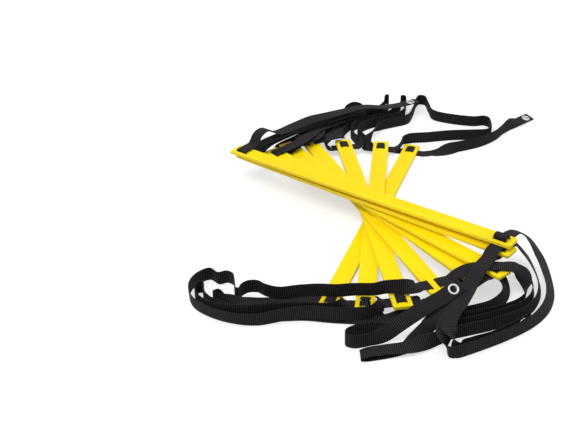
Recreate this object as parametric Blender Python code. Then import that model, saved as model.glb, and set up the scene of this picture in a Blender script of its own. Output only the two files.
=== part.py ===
"""Agility ladder, gathered up after use.

Eight flat slats lie stacked and fanned about one crossing. Two long webbing straps run through the slots near
the slats' ends and lie beside the stack in loose loops, partly flat and partly on edge. Metres, +Z up. The
origin is on the ground under the middle of the slats.
"""
import math

import bmesh
import bpy
from mathutils import Matrix, Vector

# Webbing
WEB_WIDTH = 0.020
WEB_THICKNESS = 0.0012
CLEARANCE = 0.0003

# Slats. Each slot lets the webbing through with some play beside its edges and over its faces
RUNG_LENGTH = 0.5
RUNG_WIDTH = 0.026
RUNG_THICKNESS = 0.005
RUNG_CORNER = 0.003
RUNG_EDGE = 0.0005
SLOT_SIDE_PLAY = 0.001
SLOT_FACE_PLAY = 0.0006
SLOT_LENGTH = WEB_WIDTH + 2 * SLOT_SIDE_PLAY
SLOT_WIDTH = WEB_THICKNESS + 2 * (CLEARANCE + SLOT_FACE_PLAY)
SLOT_FROM_END = 0.019
BRIDGE_WIDTH = 0.0085

# The part of a strap that is threaded through a slat's slots moves with the slat
THREAD_OVERRUN = 0.002
THREAD_REACH = RUNG_WIDTH / 2 + THREAD_OVERRUN

# Eyelets: a ring whose barrel passes through the webbing and a washer at the back
EYELET_BORE = 0.009
EYELET_WALL = 0.0006
EYELET_FLANGE = 0.015
EYELET_RIM = 0.0008
WASHER_THICKNESS = 0.0006
LIP_THICKNESS = 0.0004
LIP_WIDTH = 0.0012
EYELET_FROM_END = 0.014
EYELET_SIDES = 20

# How finely a free strap is cut into flat facets: by how far it may stray from the true curve, by how much it
# may twist from one facet to the next, and by length
CURVE_STEP = 0.0005
STRAY = 0.00015
TWIST = math.radians(9)
# Two widths further apart than this cosine are the same width, read from its other edge
FLIPPED = -0.2
LONGEST_FACET = 0.03

# A strap leaves its slat straight for this far. The shorter leads are for straps that turn at once
LEAD = 0.007
SHORT_LEAD = 0.003
TIGHT_LEAD = 0.002
LEAST_LEAD = 0.001
LEAD_SHARES = (0, 0.5, 1)

# The stack: where the slats cross, each slat's heading in degrees, and how far its middle is from the crossing
CROSSING = Vector((0.015, -0.009, 0))
HEADINGS = (-106, -94, -80.5, -67.5, -56, -47.8, -37.5, -35.5)
ALONG_SHARES = (-0.032, -0.018, -0.015, -0.04, -0.02, 0.014, -0.023, -0.03)
ASIDE_SHARES = (0.058, 0.096, -0.154, -0.154, 0.154, -0.077, -0.154, -0.173)
# What lies between a slat and the one beneath it besides one clearance: thicknesses of webbing and clearances
LAYERS_BELOW = {6: (1, 2), 7: (1, 1), 8: (3, 4)}
NEAR, FAR = 1, -1
LEFT, RIGHT = -1, 1
# How each slat is threaded: most straps pass under the margins and over the bridge between the slots. Where
# the slats lie close together at the far side, the strap comes up through one slot and turns back over the slat
UPSIDE_DOWN = [(NEAR, 4), (FAR, 4)]
TURNED_BACK = [(FAR, 5), (FAR, 6), (FAR, 7), (FAR, 8)]
# How far the webbing stands proud of the bridge where it was pulled through loosely
PROUD = {(NEAR, 8): 0.005}

# Routes of the free straps: x, y, z in metres, then the lean of the webbing in degrees (0 flat, 90 on edge,
# under 90 with the left edge high, over 90 with the right), then where it folds the heading of its width
NEAR_TAIL_1 = [
    (-0.009, -0.226, 0.0006, 0), (0.007, -0.235, 0.0006, 0), (0.019, -0.249, 0.0006, 0),
    (0.025, -0.266, 0.0009, 0), (0.027, -0.275, 0.0056, 20), (0.021, -0.282, 0.0092, 55),
    (0.01, -0.285, 0.0105, 82), (-0.007, -0.29, 0.0105, 90), (-0.022, -0.3, 0.0105, 90),
    (-0.023, -0.309, 0.0105, 90), (-0.013, -0.314, 0.0105, 90), (0.007, -0.309, 0.0105, 90),
    (0.025, -0.301, 0.0117, 70), (0.043, -0.29, 0.0192, 45), (0.075, -0.271, 0.0307, 36),
    (0.0986, -0.2533, 0.034, 33), (0.1064, -0.2475, 0.0365, 33), (0.125, -0.2335, 0.0423, 33),
]
NEAR_SPAN_1_2 = [
    (-0.085, -0.208, 0.0006, 0), (-0.125, -0.215, 0.0007, 0), (-0.15, -0.215, 0.001, 0),
    (-0.17, -0.213, 0.0019, 4), (-0.182, -0.212, 0.0072, 40), (-0.192, -0.213, 0.0105, 85),
    (-0.197, -0.218, 0.0105, 90), (-0.191, -0.224, 0.0105, 90), (-0.171, -0.227, 0.0085, 50),
    (-0.145, -0.229, 0.0041, 2), (-0.12, -0.234, 0.0027, 0), (-0.07, -0.247, 0.0023, 0),
    (-0.047, -0.252, 0.0023, 0), (-0.029, -0.249, 0.0027, 0), (-0.015, -0.241, 0.0037, 0),
    (0.001, -0.234, 0.0039, 0), (0.021, -0.2325, 0.0039, 0), (0.027, -0.2322, 0.0045, 0),
]
NEAR_SPAN_2_3 = [
    (-0.026, -0.234, 0.0121, 142), (-0.029, -0.246, 0.0167, 95), (-0.043, -0.252, 0.0157, 90),
    (-0.075, -0.249, 0.0142, 90), (-0.115, -0.25, 0.0142, 90), (-0.15, -0.256, 0.0152, 90),
    (-0.185, -0.25, 0.0137, 90), (-0.211, -0.231, 0.0105, 90), (-0.222, -0.209, 0.0105, 90),
    (-0.219, -0.195, 0.0105, 90), (-0.213, -0.195, 0.0105, 90), (-0.21, -0.214, 0.0105, 90),
    (-0.199, -0.231, 0.0105, 88), (-0.183, -0.242, 0.0083, 50), (-0.163, -0.249, 0.0019, 4),
    (-0.135, -0.25, 0.0006, 0), (-0.075, -0.247, 0.0006, 0), (-0.04, -0.252, 0.0006, 0),
    (-0.015, -0.255, 0.0011, 0), (0.001, -0.257, 0.0021, 0), (0.029, -0.255, 0.0024, 0),
    (0.05, -0.244, 0.0033, 0), (0.067, -0.231, 0.0052, 0), (0.074, -0.2295, 0.0081, 0),
]
NEAR_SPAN_3_4 = [
    (0.022, -0.2355, 0.0152, 155), (0.019, -0.247, 0.0172, 98), (0.009, -0.258, 0.0162, 90),
    (-0.01, -0.263, 0.0162, 90), (-0.04, -0.262, 0.0157, 90), (-0.07, -0.258, 0.015, 90),
    (-0.1, -0.26, 0.0127, 90), (-0.135, -0.268, 0.0105, 85), (-0.167, -0.265, 0.0105, 80),
    (-0.201, -0.249, 0.0105, 80), (-0.223, -0.227, 0.0105, 85), (-0.231, -0.197, 0.0105, 90),
    (-0.223, -0.174, 0.0105, 90), (-0.208, -0.163, 0.0105, 90), (-0.195, -0.174, 0.0107, 90),
    (-0.184, -0.172, 0.0117, 90), (-0.175, -0.179, 0.0127, 90), (-0.171, -0.195, 0.0133, 90),
    (-0.168, -0.214, 0.0139, 90), (-0.164, -0.216, 0.0139, 90), (-0.161, -0.206, 0.0133, 90),
    (-0.153, -0.197, 0.0127, 90), (-0.141, -0.196, 0.0125, 90), (-0.129, -0.205, 0.0125, 90),
    (-0.11, -0.212, 0.0127, 90), (-0.085, -0.211, 0.0152, 90), (-0.057, -0.215, 0.0197, 90),
    (-0.035, -0.218, 0.0207, 90), (-0.013, -0.221, 0.0245, 90), (0.015, -0.222, 0.0257, 90),
    (0.027, -0.222, 0.0287, 85), (0.045, -0.222, 0.0297, 75), (0.057, -0.22, 0.0282, 50),
    (0.068, -0.216, 0.0252, 25),
]
NEAR_SPAN_4_5 = [
    (0.121, -0.196, 0.0305, 5), (0.136, -0.19, 0.0347, 12), (0.151, -0.187, 0.0377, 4),
    (0.165, -0.185, 0.0377, 0), (0.186, -0.186, 0.0377, 0), (0.203, -0.188, 0.0347, 10),
    (0.213, -0.197, 0.0257, 50), (0.214, -0.211, 0.0137, 85), (0.206, -0.228, 0.0107, 90),
    (0.185, -0.245, 0.0107, 90), (0.16, -0.255, 0.0105, 90), (0.137, -0.261, 0.0105, 90),
    (0.125, -0.264, 0.0105, 90), (0.121, -0.259, 0.0105, 90), (0.127, -0.254, 0.0105, 90),
    (0.143, -0.249, 0.0105, 85), (0.165, -0.239, 0.0107, 80), (0.183, -0.221, 0.0127, 70),
    (0.188, -0.202, 0.0147, 50), (0.183, -0.183, 0.0192, 15), (0.172, -0.172, 0.0218, 0),
]
NEAR_SPAN_5_6 = [
    (0.119, -0.209, 0.0197, 20), (0.116, -0.222, 0.0137, 70), (0.107, -0.235, 0.0109, 85),
    (0.102, -0.254, 0.0105, 90), (0.106, -0.269, 0.0105, 90), (0.121, -0.277, 0.0105, 90),
    (0.145, -0.271, 0.0105, 90), (0.175, -0.258, 0.0105, 90), (0.203, -0.241, 0.0105, 90),
    (0.2205, -0.218, 0.0107, 85), (0.2245, -0.196, 0.0147, 75), (0.2175, -0.179, 0.0217, 50),
    (0.2055, -0.167, 0.0277, 15),
]
NEAR_SPAN_6_7 = [
    (0.157, -0.2015, 0.0307, 0), (0.139, -0.219, 0.0301, 0), (0.123, -0.235, 0.0272, 3),
    (0.107, -0.252, 0.0259, 0), (0.094, -0.269, 0.0225, 178), (0.085, -0.28, 0.0175, 165),
    (0.077, -0.289, 0.0127, 130), (0.065, -0.303, 0.0083, 140), (0.053, -0.314, 0.0035, 175),
    (0.039, -0.321, 0.0017, 180), (0.02, -0.326, 0.0007, 180), (0.001, -0.33, 0.0009, 0, 90),
    (-0.005, -0.3315, 0.0035, 0, 90), (0.001, -0.33, 0.0059, 0, 90), (0.025, -0.324, 0.0065, 0),
    (0.05, -0.321, 0.0072, 10), (0.073, -0.314, 0.0097, 50), (0.09, -0.307, 0.0105, 80),
    (0.107, -0.297, 0.0105, 90), (0.127, -0.29, 0.0105, 90), (0.165, -0.276, 0.0105, 90),
    (0.2035, -0.255, 0.0105, 90), (0.2235, -0.23, 0.0107, 85), (0.233, -0.201, 0.0127, 75),
    (0.2315, -0.167, 0.0177, 60), (0.222, -0.139, 0.0267, 40), (0.21, -0.123, 0.0337, 15),
]
NEAR_SPAN_7_8 = [
    (0.168, -0.17, 0.0397, 0), (0.161, -0.18, 0.0403, 0), (0.149, -0.199, 0.0381, 0),
    (0.139, -0.219, 0.0347, 0), (0.129, -0.239, 0.0315, 0), (0.119, -0.258, 0.0284, 0),
    (0.109, -0.275, 0.0266, 0), (0.101, -0.292, 0.0246, 0), (0.097, -0.306, 0.0232, 0),
    (0.0965, -0.318, 0.0205, 155), (0.0985, -0.328, 0.0145, 120), (0.105, -0.334, 0.0107, 95),
    (0.114, -0.333, 0.0105, 90), (0.13, -0.3255, 0.0105, 90), (0.155, -0.312, 0.0105, 90),
    (0.18, -0.297, 0.0105, 90), (0.214, -0.27, 0.0105, 82), (0.236, -0.239, 0.0102, 65),
    (0.247, -0.204, 0.0095, 52), (0.249, -0.166, 0.0105, 42), (0.2445, -0.13, 0.0177, 32),
    (0.232, -0.107, 0.0317, 24), (0.215, -0.106, 0.0427, 12),
]
NEAR_TAIL_8 = [
    (0.166, -0.175, 0.0427, 0), (0.152, -0.199, 0.0402, 0), (0.141, -0.219, 0.0366, 0),
    (0.132, -0.239, 0.0333, 0), (0.1225, -0.258, 0.03, 0), (0.1125, -0.275, 0.0284, 0),
    (0.1055, -0.291, 0.0267, 0), (0.103, -0.303, 0.0256, 0), (0.1045, -0.3125, 0.0243, 160),
    (0.1085, -0.3205, 0.018, 120), (0.114, -0.3235, 0.0114, 95), (0.1215, -0.3205, 0.0105, 90),
    (0.133, -0.3155, 0.0105, 90), (0.159, -0.304, 0.0105, 90), (0.184, -0.287, 0.0105, 90),
    (0.192, -0.2807, 0.0105, 90), (0.211, -0.266, 0.0105, 90),
]
FAR_TAIL_1 = [
    (0.121, 0.224, 0.0012, 0), (0.133, 0.223, 0.0037, 15), (0.148, 0.224, 0.0086, 50),
    (0.165, 0.229, 0.0105, 85), (0.205, 0.248, 0.0105, 90), (0.235, 0.274, 0.0105, 90),
    (0.253, 0.301, 0.0105, 88), (0.267, 0.321, 0.0101, 65), (0.28, 0.336, 0.0077, 30),
    (0.2883, 0.3446, 0.0056, 15), (0.2953, 0.3518, 0.0052, 15), (0.312, 0.369, 0.0043, 15),
]
FAR_SPAN_1_2 = [
    (0.045, 0.241, 0.0006, 0), (0.025, 0.248, 0.0006, 0), (0.013, 0.259, 0.0006, 0),
    (0.009, 0.276, 0.0009, 0), (0.017, 0.293, 0.0061, 145), (0.025, 0.304, 0.0087, 125),
    (0.035, 0.314, 0.0105, 95), (0.06, 0.329, 0.0105, 90), (0.085, 0.343, 0.0105, 90),
    (0.097, 0.376, 0.0105, 90), (0.105, 0.416, 0.0105, 90), (0.112, 0.431, 0.0105, 90),
    (0.121, 0.429, 0.0105, 90), (0.127, 0.396, 0.0105, 90), (0.133, 0.363, 0.0105, 90),
    (0.155, 0.348, 0.0105, 90), (0.205, 0.334, 0.0105, 90), (0.222, 0.337, 0.0105, 90),
    (0.23, 0.331, 0.0105, 90), (0.232, 0.309, 0.0105, 90), (0.23, 0.291, 0.0105, 90),
    (0.221, 0.281, 0.0105, 90), (0.195, 0.278, 0.0105, 90), (0.155, 0.275, 0.0105, 90),
    (0.115, 0.267, 0.0105, 90), (0.085, 0.262, 0.0107, 90), (0.071, 0.253, 0.0102, 75),
    (0.065, 0.239, 0.0082, 30),
]
FAR_SPAN_2_3 = [
    (0.01, 0.237, 0.0102, 135), (0.006, 0.253, 0.0132, 92), (-0.005, 0.281, 0.0122, 90),
    (0.003, 0.309, 0.0105, 90), (0.023, 0.327, 0.0105, 90), (0.055, 0.341, 0.0105, 90),
    (0.077, 0.363, 0.0105, 90), (0.085, 0.401, 0.0105, 90), (0.085, 0.429, 0.0105, 90),
    (0.079, 0.431, 0.0105, 90), (0.075, 0.401, 0.0105, 90), (0.065, 0.376, 0.0105, 90),
    (0.045, 0.353, 0.0105, 90), (0.015, 0.337, 0.0105, 90), (-0.009, 0.317, 0.0105, 90),
    (-0.017, 0.286, 0.0112, 90), (-0.009, 0.256, 0.0127, 90), (-0.003, 0.241, 0.0127, 60),
]
FAR_SPAN_3_4 = [
    (-0.057, 0.232, 0.0127, 50), (-0.06, 0.247, 0.0117, 88), (-0.051, 0.276, 0.0105, 90),
    (-0.029, 0.313, 0.0105, 90), (-0.01, 0.343, 0.0105, 90), (-0.004, 0.376, 0.0105, 90),
    (-0.01, 0.387, 0.0105, 90), (-0.017, 0.376, 0.0105, 90), (-0.025, 0.349, 0.0105, 90),
    (-0.047, 0.321, 0.0105, 90), (-0.079, 0.281, 0.0105, 90), (-0.101, 0.254, 0.0117, 90),
    (-0.109, 0.241, 0.0137, 90), (-0.1105, 0.231, 0.0177, 88), (-0.109, 0.224, 0.0222, 55),
    (-0.103, 0.218, 0.0237, 0),
]
FAR_SPAN_4_5 = [
    (-0.057, 0.232, 0.0255, 0), (-0.043, 0.242, 0.0257, 15), (-0.033, 0.258, 0.0217, 50),
    (-0.03, 0.275, 0.0147, 80), (-0.029, 0.291, 0.0109, 90), (-0.021, 0.311, 0.0105, 90),
    (0.003, 0.343, 0.0105, 90), (0.031, 0.363, 0.0105, 90), (0.049, 0.387, 0.0105, 90),
    (0.054, 0.419, 0.0105, 90), (0.053, 0.435, 0.0105, 90), (0.048, 0.431, 0.0105, 90),
    (0.044, 0.401, 0.0105, 90), (0.029, 0.377, 0.0105, 90), (0.011, 0.371, 0.0105, 90),
    (0.001, 0.393, 0.0105, 90), (-0.011, 0.399, 0.0105, 90), (-0.024, 0.386, 0.0105, 90),
    (-0.033, 0.355, 0.0105, 90), (-0.057, 0.325, 0.0105, 90), (-0.089, 0.283, 0.0105, 90),
    (-0.117, 0.249, 0.0105, 90), (-0.135, 0.229, 0.0105, 90), (-0.145, 0.213, 0.0105, 88),
    (-0.143, 0.199, 0.0105, 85), (-0.132, 0.192, 0.0107, 55), (-0.1165, 0.193, 0.0137, 10),
    (-0.105, 0.2008, 0.0169, 0), (-0.0995, 0.2045, 0.0193, 0),
]
FAR_SPAN_5_6 = [
    (-0.09, 0.211, 0.0312, 0), (-0.078, 0.223, 0.0312, 0), (-0.072, 0.237, 0.0302, 0),
    (-0.07, 0.249, 0.0257, 150), (-0.069, 0.261, 0.0177, 110), (-0.064, 0.274, 0.0122, 95),
    (-0.057, 0.287, 0.0106, 90), (-0.045, 0.303, 0.0105, 90), (-0.027, 0.331, 0.0105, 90),
    (-0.019, 0.347, 0.0105, 90), (-0.023, 0.347, 0.0105, 90), (-0.032, 0.331, 0.0105, 90),
    (-0.051, 0.307, 0.0105, 90), (-0.077, 0.272, 0.0114, 88), (-0.089, 0.257, 0.0142, 75),
    (-0.097, 0.243, 0.0257, 35), (-0.098, 0.229, 0.0329, 0), (-0.099, 0.212, 0.0347, 0),
    (-0.104, 0.195, 0.0347, 0), (-0.11, 0.18, 0.0342, 0), (-0.116, 0.173, 0.0328, 0),
]
FAR_SPAN_6_7 = [
    (-0.113, 0.178, 0.0379, 0), (-0.099, 0.194, 0.0385, 0), (-0.089, 0.216, 0.0367, 0),
    (-0.082, 0.238, 0.0329, 0), (-0.073, 0.261, 0.0295, 0), (-0.055, 0.286, 0.0251, 0),
    (-0.03, 0.313, 0.0235, 0), (-0.005, 0.332, 0.0237, 0, 126), (0.006, 0.3395, 0.0251, 0, 126),
    (-0.005, 0.332, 0.0265, 0, 126), (-0.03, 0.316, 0.0271, 0), (-0.061, 0.291, 0.0302, 0),
    (-0.089, 0.265, 0.035, 0), (-0.113, 0.235, 0.0375, 0), (-0.135, 0.205, 0.0393, 0),
    (-0.152, 0.181, 0.0407, 0), (-0.1635, 0.1605, 0.0393, 0),
]
FAR_SPAN_7_8 = [
    (-0.153, 0.171, 0.0447, 0), (-0.133, 0.199, 0.0425, 0), (-0.107, 0.231, 0.0403, 0),
    (-0.082, 0.263, 0.0373, 0), (-0.055, 0.29, 0.0329, 0), (-0.025, 0.317, 0.0301, 0),
    (-0.007, 0.329, 0.0301, 0, 128), (0.002, 0.3355, 0.0316, 0, 128), (-0.007, 0.329, 0.0331, 0, 128),
    (-0.027, 0.318, 0.0339, 0), (-0.057, 0.291, 0.0367, 0), (-0.083, 0.264, 0.0405, 0),
    (-0.109, 0.232, 0.0433, 0), (-0.135, 0.199, 0.0461, 0), (-0.156, 0.171, 0.0483, 0),
]
FAR_TAIL_8 = [
    (-0.1725, 0.1515, 0.0572, 0), (-0.1685, 0.157, 0.0652, 0), (-0.1615, 0.1665, 0.0697, 0),
    (-0.1535, 0.177, 0.0677, 0), (-0.1475, 0.185, 0.0602, 0), (-0.1415, 0.193, 0.0537, 0),
    (-0.131, 0.207, 0.0502, 4), (-0.111, 0.231, 0.0485, 12), (-0.083, 0.264, 0.0462, 16),
    (-0.055, 0.291, 0.0419, 10), (-0.025, 0.319, 0.0377, 3),
    (0.01, 0.341, 0.0357, 0), (0.045, 0.359, 0.0272, 0), (0.0754, 0.3762, 0.0245, 0),
    (0.0841, 0.3812, 0.0247, 0), (0.105, 0.393, 0.0253, 0),
]


def material(name, colour, roughness, metallic=0.0):
    made = bpy.data.materials.new(name)
    made.use_nodes = True
    made.diffuse_color = (*colour, 1)
    shader = made.node_tree.nodes["Principled BSDF"]
    shader.inputs["Base Color"].default_value = (*colour, 1)
    shader.inputs["Roughness"].default_value = roughness
    shader.inputs["Metallic"].default_value = metallic
    return made


def show(name, mesh, surface, parent=None, place=Vector()):
    """Puts a mesh in the scene as a named object."""
    thing = bpy.data.objects.new(name, mesh)
    if not mesh.materials:
        mesh.materials.append(surface)
    thing.parent = parent
    thing.location = place
    bpy.context.scene.collection.objects.link(thing)
    return thing


def rounded_box(length, width, height, corner):
    """A plate whose upright corners are rounded, standing on z = 0, as a bmesh."""
    plate = bmesh.new()
    bmesh.ops.create_cube(plate, size=1)
    bmesh.ops.scale(plate, verts=plate.verts, vec=(length, width, height))
    bmesh.ops.translate(plate, verts=plate.verts, vec=(0, 0, height / 2))
    upright = [e for e in plate.edges if abs(e.verts[0].co.z - e.verts[1].co.z) > height / 2]
    bmesh.ops.bevel(plate, geom=upright, offset=corner, segments=3, profile=0.5, affect="EDGES")
    return plate


def slat_mesh():
    """A slat with a pair of slots near each end, its middle at the origin and its underside at z = 0."""
    plate = rounded_box(RUNG_LENGTH, RUNG_WIDTH, RUNG_THICKNESS, RUNG_CORNER)
    rims = [e for e in plate.edges if abs(e.verts[0].co.z - e.verts[1].co.z) < RUNG_EDGE]
    bmesh.ops.bevel(plate, geom=rims, offset=RUNG_EDGE, segments=1, affect="EDGES")
    mesh = bpy.data.meshes.new("slat")
    plate.to_mesh(mesh)
    plate.free()
    blank = bpy.data.objects.new("slat_blank", mesh)
    bpy.context.scene.collection.objects.link(blank)
    cutters = []
    for end in (NEAR, FAR):
        for side in (LEFT, RIGHT):
            slot = rounded_box(SLOT_LENGTH, SLOT_WIDTH, 3 * RUNG_THICKNESS, SLOT_WIDTH / 3)
            slot_mesh = bpy.data.meshes.new("slot")
            slot.to_mesh(slot_mesh)
            slot.free()
            cutter = bpy.data.objects.new("slot_cutter", slot_mesh)
            cutter.location = (
                end * (RUNG_LENGTH / 2 - SLOT_FROM_END),
                side * (BRIDGE_WIDTH + SLOT_WIDTH) / 2,
                -RUNG_THICKNESS,
            )
            bpy.context.scene.collection.objects.link(cutter)
            cut = blank.modifiers.new("slot", "BOOLEAN")
            cut.object = cutter
            cutters.append(cutter)
    view = bpy.context.evaluated_depsgraph_get()
    slotted = bpy.data.meshes.new_from_object(blank.evaluated_get(view))
    slotted.name = "slotted_slat"
    for spare in [blank] + cutters:
        bpy.data.objects.remove(spare)
    return slotted


def slat_levels():
    """The height of each slat's underside, by number."""
    levels = {1: WEB_THICKNESS + CLEARANCE}
    for number in range(2, len(HEADINGS) + 1):
        straps, gaps = LAYERS_BELOW.get(number, (0, 0))
        rise = RUNG_THICKNESS + CLEARANCE + straps * WEB_THICKNESS + gaps * CLEARANCE
        levels[number] = levels[number - 1] + rise
    return levels


LEVELS = slat_levels()
UNDER = -(CLEARANCE + WEB_THICKNESS / 2)
OVER = RUNG_THICKNESS - UNDER
OUTER = OVER + WEB_THICKNESS + CLEARANCE
TURN = BRIDGE_WIDTH / 2 + CLEARANCE + WEB_THICKNESS / 2


def pivot(number):
    """The turning axis of a slat: its place on the crossing and its heading."""
    turn = Matrix.Rotation(math.radians(HEADINGS[number - 1]), 4, "Z")
    return Matrix.Translation(CROSSING + Vector((0, 0, LEVELS[number]))) @ turn


def slat_middle(number):
    return Vector((ALONG_SHARES[number - 1] * RUNG_LENGTH, ASIDE_SHARES[number - 1] * RUNG_WIDTH, 0))


def slots_middle(number, end):
    return slat_middle(number) + Vector((end * (RUNG_LENGTH / 2 - SLOT_FROM_END), 0, 0))


def thread_path(end, number):
    """Middle line of the threaded webbing, across the slat and up from its underside."""
    if (end, number) in TURNED_BACK:
        return [(THREAD_REACH, UNDER), (-TURN, UNDER), (-TURN, OUTER), (THREAD_REACH, OUTER)]
    top = OVER + PROUD.get((end, number), 0)
    over_bridge = [(TURN, UNDER), (TURN, top), (-TURN, top), (-TURN, UNDER)]
    path = [(THREAD_REACH, UNDER), *over_bridge, (-THREAD_REACH, UNDER)]
    if (end, number) in UPSIDE_DOWN:
        return [(across, RUNG_THICKNESS - up) for across, up in path]
    return path


def offset_path(path, distance):
    """The path moved sideways, with square corners."""
    line = [Vector(p) for p in path]
    moved = []
    for place, here in enumerate(line):
        before = (here - line[place - 1]).normalized() if place else None
        after = (line[place + 1] - here).normalized() if place + 1 < len(line) else None
        sides = [Vector((-d.y, d.x)) for d in (before, after) if d is not None]
        moved.append(here + distance * (sides[0] if len(sides) == 1 else sides[0] + sides[1]))
    return moved


def thread_mesh(end, number):
    """Webbing bent through the slots, as a bent strip as wide as the webbing."""
    path = thread_path(end, number)
    outline = offset_path(path, WEB_THICKNESS / 2) + offset_path(path, -WEB_THICKNESS / 2)[::-1]
    strip = bmesh.new()
    half = WEB_WIDTH / 2
    count = len(path)
    near = [strip.verts.new((half, p.x, p.y)) for p in outline]
    far = [strip.verts.new((-half, p.x, p.y)) for p in outline]
    for place in range(2 * count):
        after = (place + 1) % (2 * count)
        strip.faces.new((near[place], near[after], far[after], far[place]))
    for place in range(count - 1):
        other = 2 * count - 1 - place
        strip.faces.new((near[place], near[other], near[other - 1], near[place + 1]))
        strip.faces.new((far[place + 1], far[other - 1], far[other], far[place]))
    bmesh.ops.recalc_face_normals(strip, faces=strip.faces)
    mesh = bpy.data.meshes.new("thread")
    strip.to_mesh(mesh)
    strip.free()
    return mesh


def port(end, number, side, over=False):
    """Where a free strap meets the threaded part at a slat: the point and the heading away from the slat."""
    level = UNDER
    if (end, number) in UPSIDE_DOWN:
        level = OVER
    if over:
        level = OUTER
    heading = pivot(number).to_3x3() @ Vector((0, side, 0))
    edge = Vector((0, side * (THREAD_REACH + CLEARANCE), level))
    return pivot(number) @ (slots_middle(number, end) + edge), heading


def full_route(route, start=None, finish=None, lead=LEAD, last_lead=LEAD):
    """A route's rows with the straight leads at its ends."""
    rows = [tuple(row) for row in route]
    if start:
        point, heading = start
        rows = [(*(point + heading * lead * share), 0) for share in LEAD_SHARES] + rows
    if finish:
        point, heading = finish
        rows += [(*(point + heading * last_lead * share), 0) for share in LEAD_SHARES[::-1]]
    return rows


def smooth_curve(points):
    """Samples of a centripetal Catmull-Rom curve through the points, and each one's place among them."""
    ends = [2 * points[0] - points[1], 2 * points[-1] - points[-2]]
    knots = [ends[0]] + points + [ends[1]]
    samples, places = [], []
    for span in range(len(points) - 1):
        p0, p1, p2, p3 = knots[span:span + 4]
        t1 = math.sqrt((p1 - p0).length)
        t2 = t1 + math.sqrt((p2 - p1).length)
        t3 = t2 + math.sqrt((p3 - p2).length)
        count = max(2, round((p2 - p1).length / CURVE_STEP))
        for step in range(count + (span == len(points) - 2)):
            t = t1 + (t2 - t1) * step / count
            a1 = p0.lerp(p1, t / t1)
            a2 = p1.lerp(p2, (t - t1) / (t2 - t1))
            a3 = p2.lerp(p3, (t - t2) / (t3 - t2))
            b1 = a1.lerp(a2, t / t2)
            b2 = a2.lerp(a3, (t - t1) / (t3 - t1))
            samples.append(b1.lerp(b2, (t - t1) / (t2 - t1)))
            places.append(span + step / count)
    return samples, places


def directions(samples):
    found = []
    for place in range(len(samples)):
        before = samples[max(place - 1, 0)]
        after = samples[min(place + 1, len(samples) - 1)]
        found.append((after - before).normalized())
    return found


def width_at(row, along):
    """The direction of the webbing's width at a row of a route."""
    lean = math.radians(row[3])
    if len(row) > 4:
        fold = math.radians(row[4])
        level, up = Vector((math.cos(fold), math.sin(fold), 0)), Vector((0, 0, 1))
    else:
        level = Vector((-along.y, along.x, 0)).normalized()
        up = along.cross(level)
        if up.z < 0:
            up = -up
    return math.cos(lean) * level + math.sin(lean) * up


def sections(rows):
    """Sections of a free strap: middle, direction along and direction across."""
    samples, places = smooth_curve([Vector(row[:3]) for row in rows])
    along = directions(samples)
    widths = []
    place = 0
    for number, row in enumerate(rows):
        while places[place] < number:
            place += 1
        width = width_at(row, along[place])
        if widths and width.dot(widths[-1]) < FLIPPED:
            width = -width
        widths.append(width)
    found = []
    for middle, where, direction in zip(samples, places, along):
        first = min(int(where), len(rows) - 2)
        across = widths[first].lerp(widths[first + 1], where - first)
        across = (across - across.dot(direction) * direction).normalized()
        found.append((middle, direction, across))
    return found


def thinned(found):
    """Only the sections that the curve, its twist and its length need."""
    kept = [found[0]]
    run = 0
    for before, here, after in zip(found, found[1:], found[2:]):
        run += (here[0] - before[0]).length
        swing = after[1].angle(kept[-1][1], 0)
        twist = after[2].angle(kept[-1][2], 0)
        if run * swing / 8 > STRAY or twist > TWIST or run > LONGEST_FACET:
            kept.append(here)
            run = 0
    return kept + [found[-1]]


def ribbon_mesh(name, found):
    """Webbing of one thickness swept through the sections."""
    strip = bmesh.new()
    rings = []
    for middle, direction, across in found:
        side = across * WEB_WIDTH / 2
        face = direction.cross(across).normalized() * WEB_THICKNESS / 2
        corners = (side + face, side - face, -side - face, -side + face)
        rings.append([strip.verts.new(middle - CROSSING + corner) for corner in corners])
    for a, b in zip(rings, rings[1:]):
        strip.faces.new((a[0], b[0], a[1]))
        strip.faces.new((a[1], b[0], b[1]))
        strip.faces.new((a[2], b[2], a[3]))
        strip.faces.new((a[3], b[2], b[3]))
        # the two broad faces are split along the same diagonal, so the webbing keeps its thickness
        strip.faces.new((a[3], b[3], a[0]))
        strip.faces.new((a[0], b[3], b[0]))
        strip.faces.new((a[1], b[1], b[2]))
        strip.faces.new((a[1], b[2], a[2]))
    strip.faces.new(rings[0])
    strip.faces.new(rings[-1][::-1])
    bmesh.ops.recalc_face_normals(strip, faces=strip.faces)
    mesh = bpy.data.meshes.new(name)
    strip.to_mesh(mesh)
    strip.free()
    return mesh


def turned_mesh(name, profile):
    """A ring turned from a closed outline of radius and height."""
    ring = bmesh.new()
    corners = [ring.verts.new((radius, 0, height)) for radius, height in profile]
    sides = [ring.edges.new(pair) for pair in zip(corners, corners[1:] + corners[:1])]
    bmesh.ops.spin(
        ring, geom=corners + sides, cent=(0, 0, 0), axis=(0, 0, 1),
        angle=math.tau, steps=EYELET_SIDES, use_merge=True,
    )
    bmesh.ops.remove_doubles(ring, verts=ring.verts, dist=CLEARANCE / 10)
    bmesh.ops.recalc_face_normals(ring, faces=ring.faces)
    mesh = bpy.data.meshes.new(name)
    ring.to_mesh(mesh)
    ring.free()
    mesh.shade_smooth()
    mesh.set_sharp_from_angle(angle=math.radians(35))
    return mesh


BORE = EYELET_BORE / 2
BARREL = BORE + EYELET_WALL
FRONT = WEB_THICKNESS / 2 + CLEARANCE
BACK = FRONT + WASHER_THICKNESS + CLEARANCE


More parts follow.
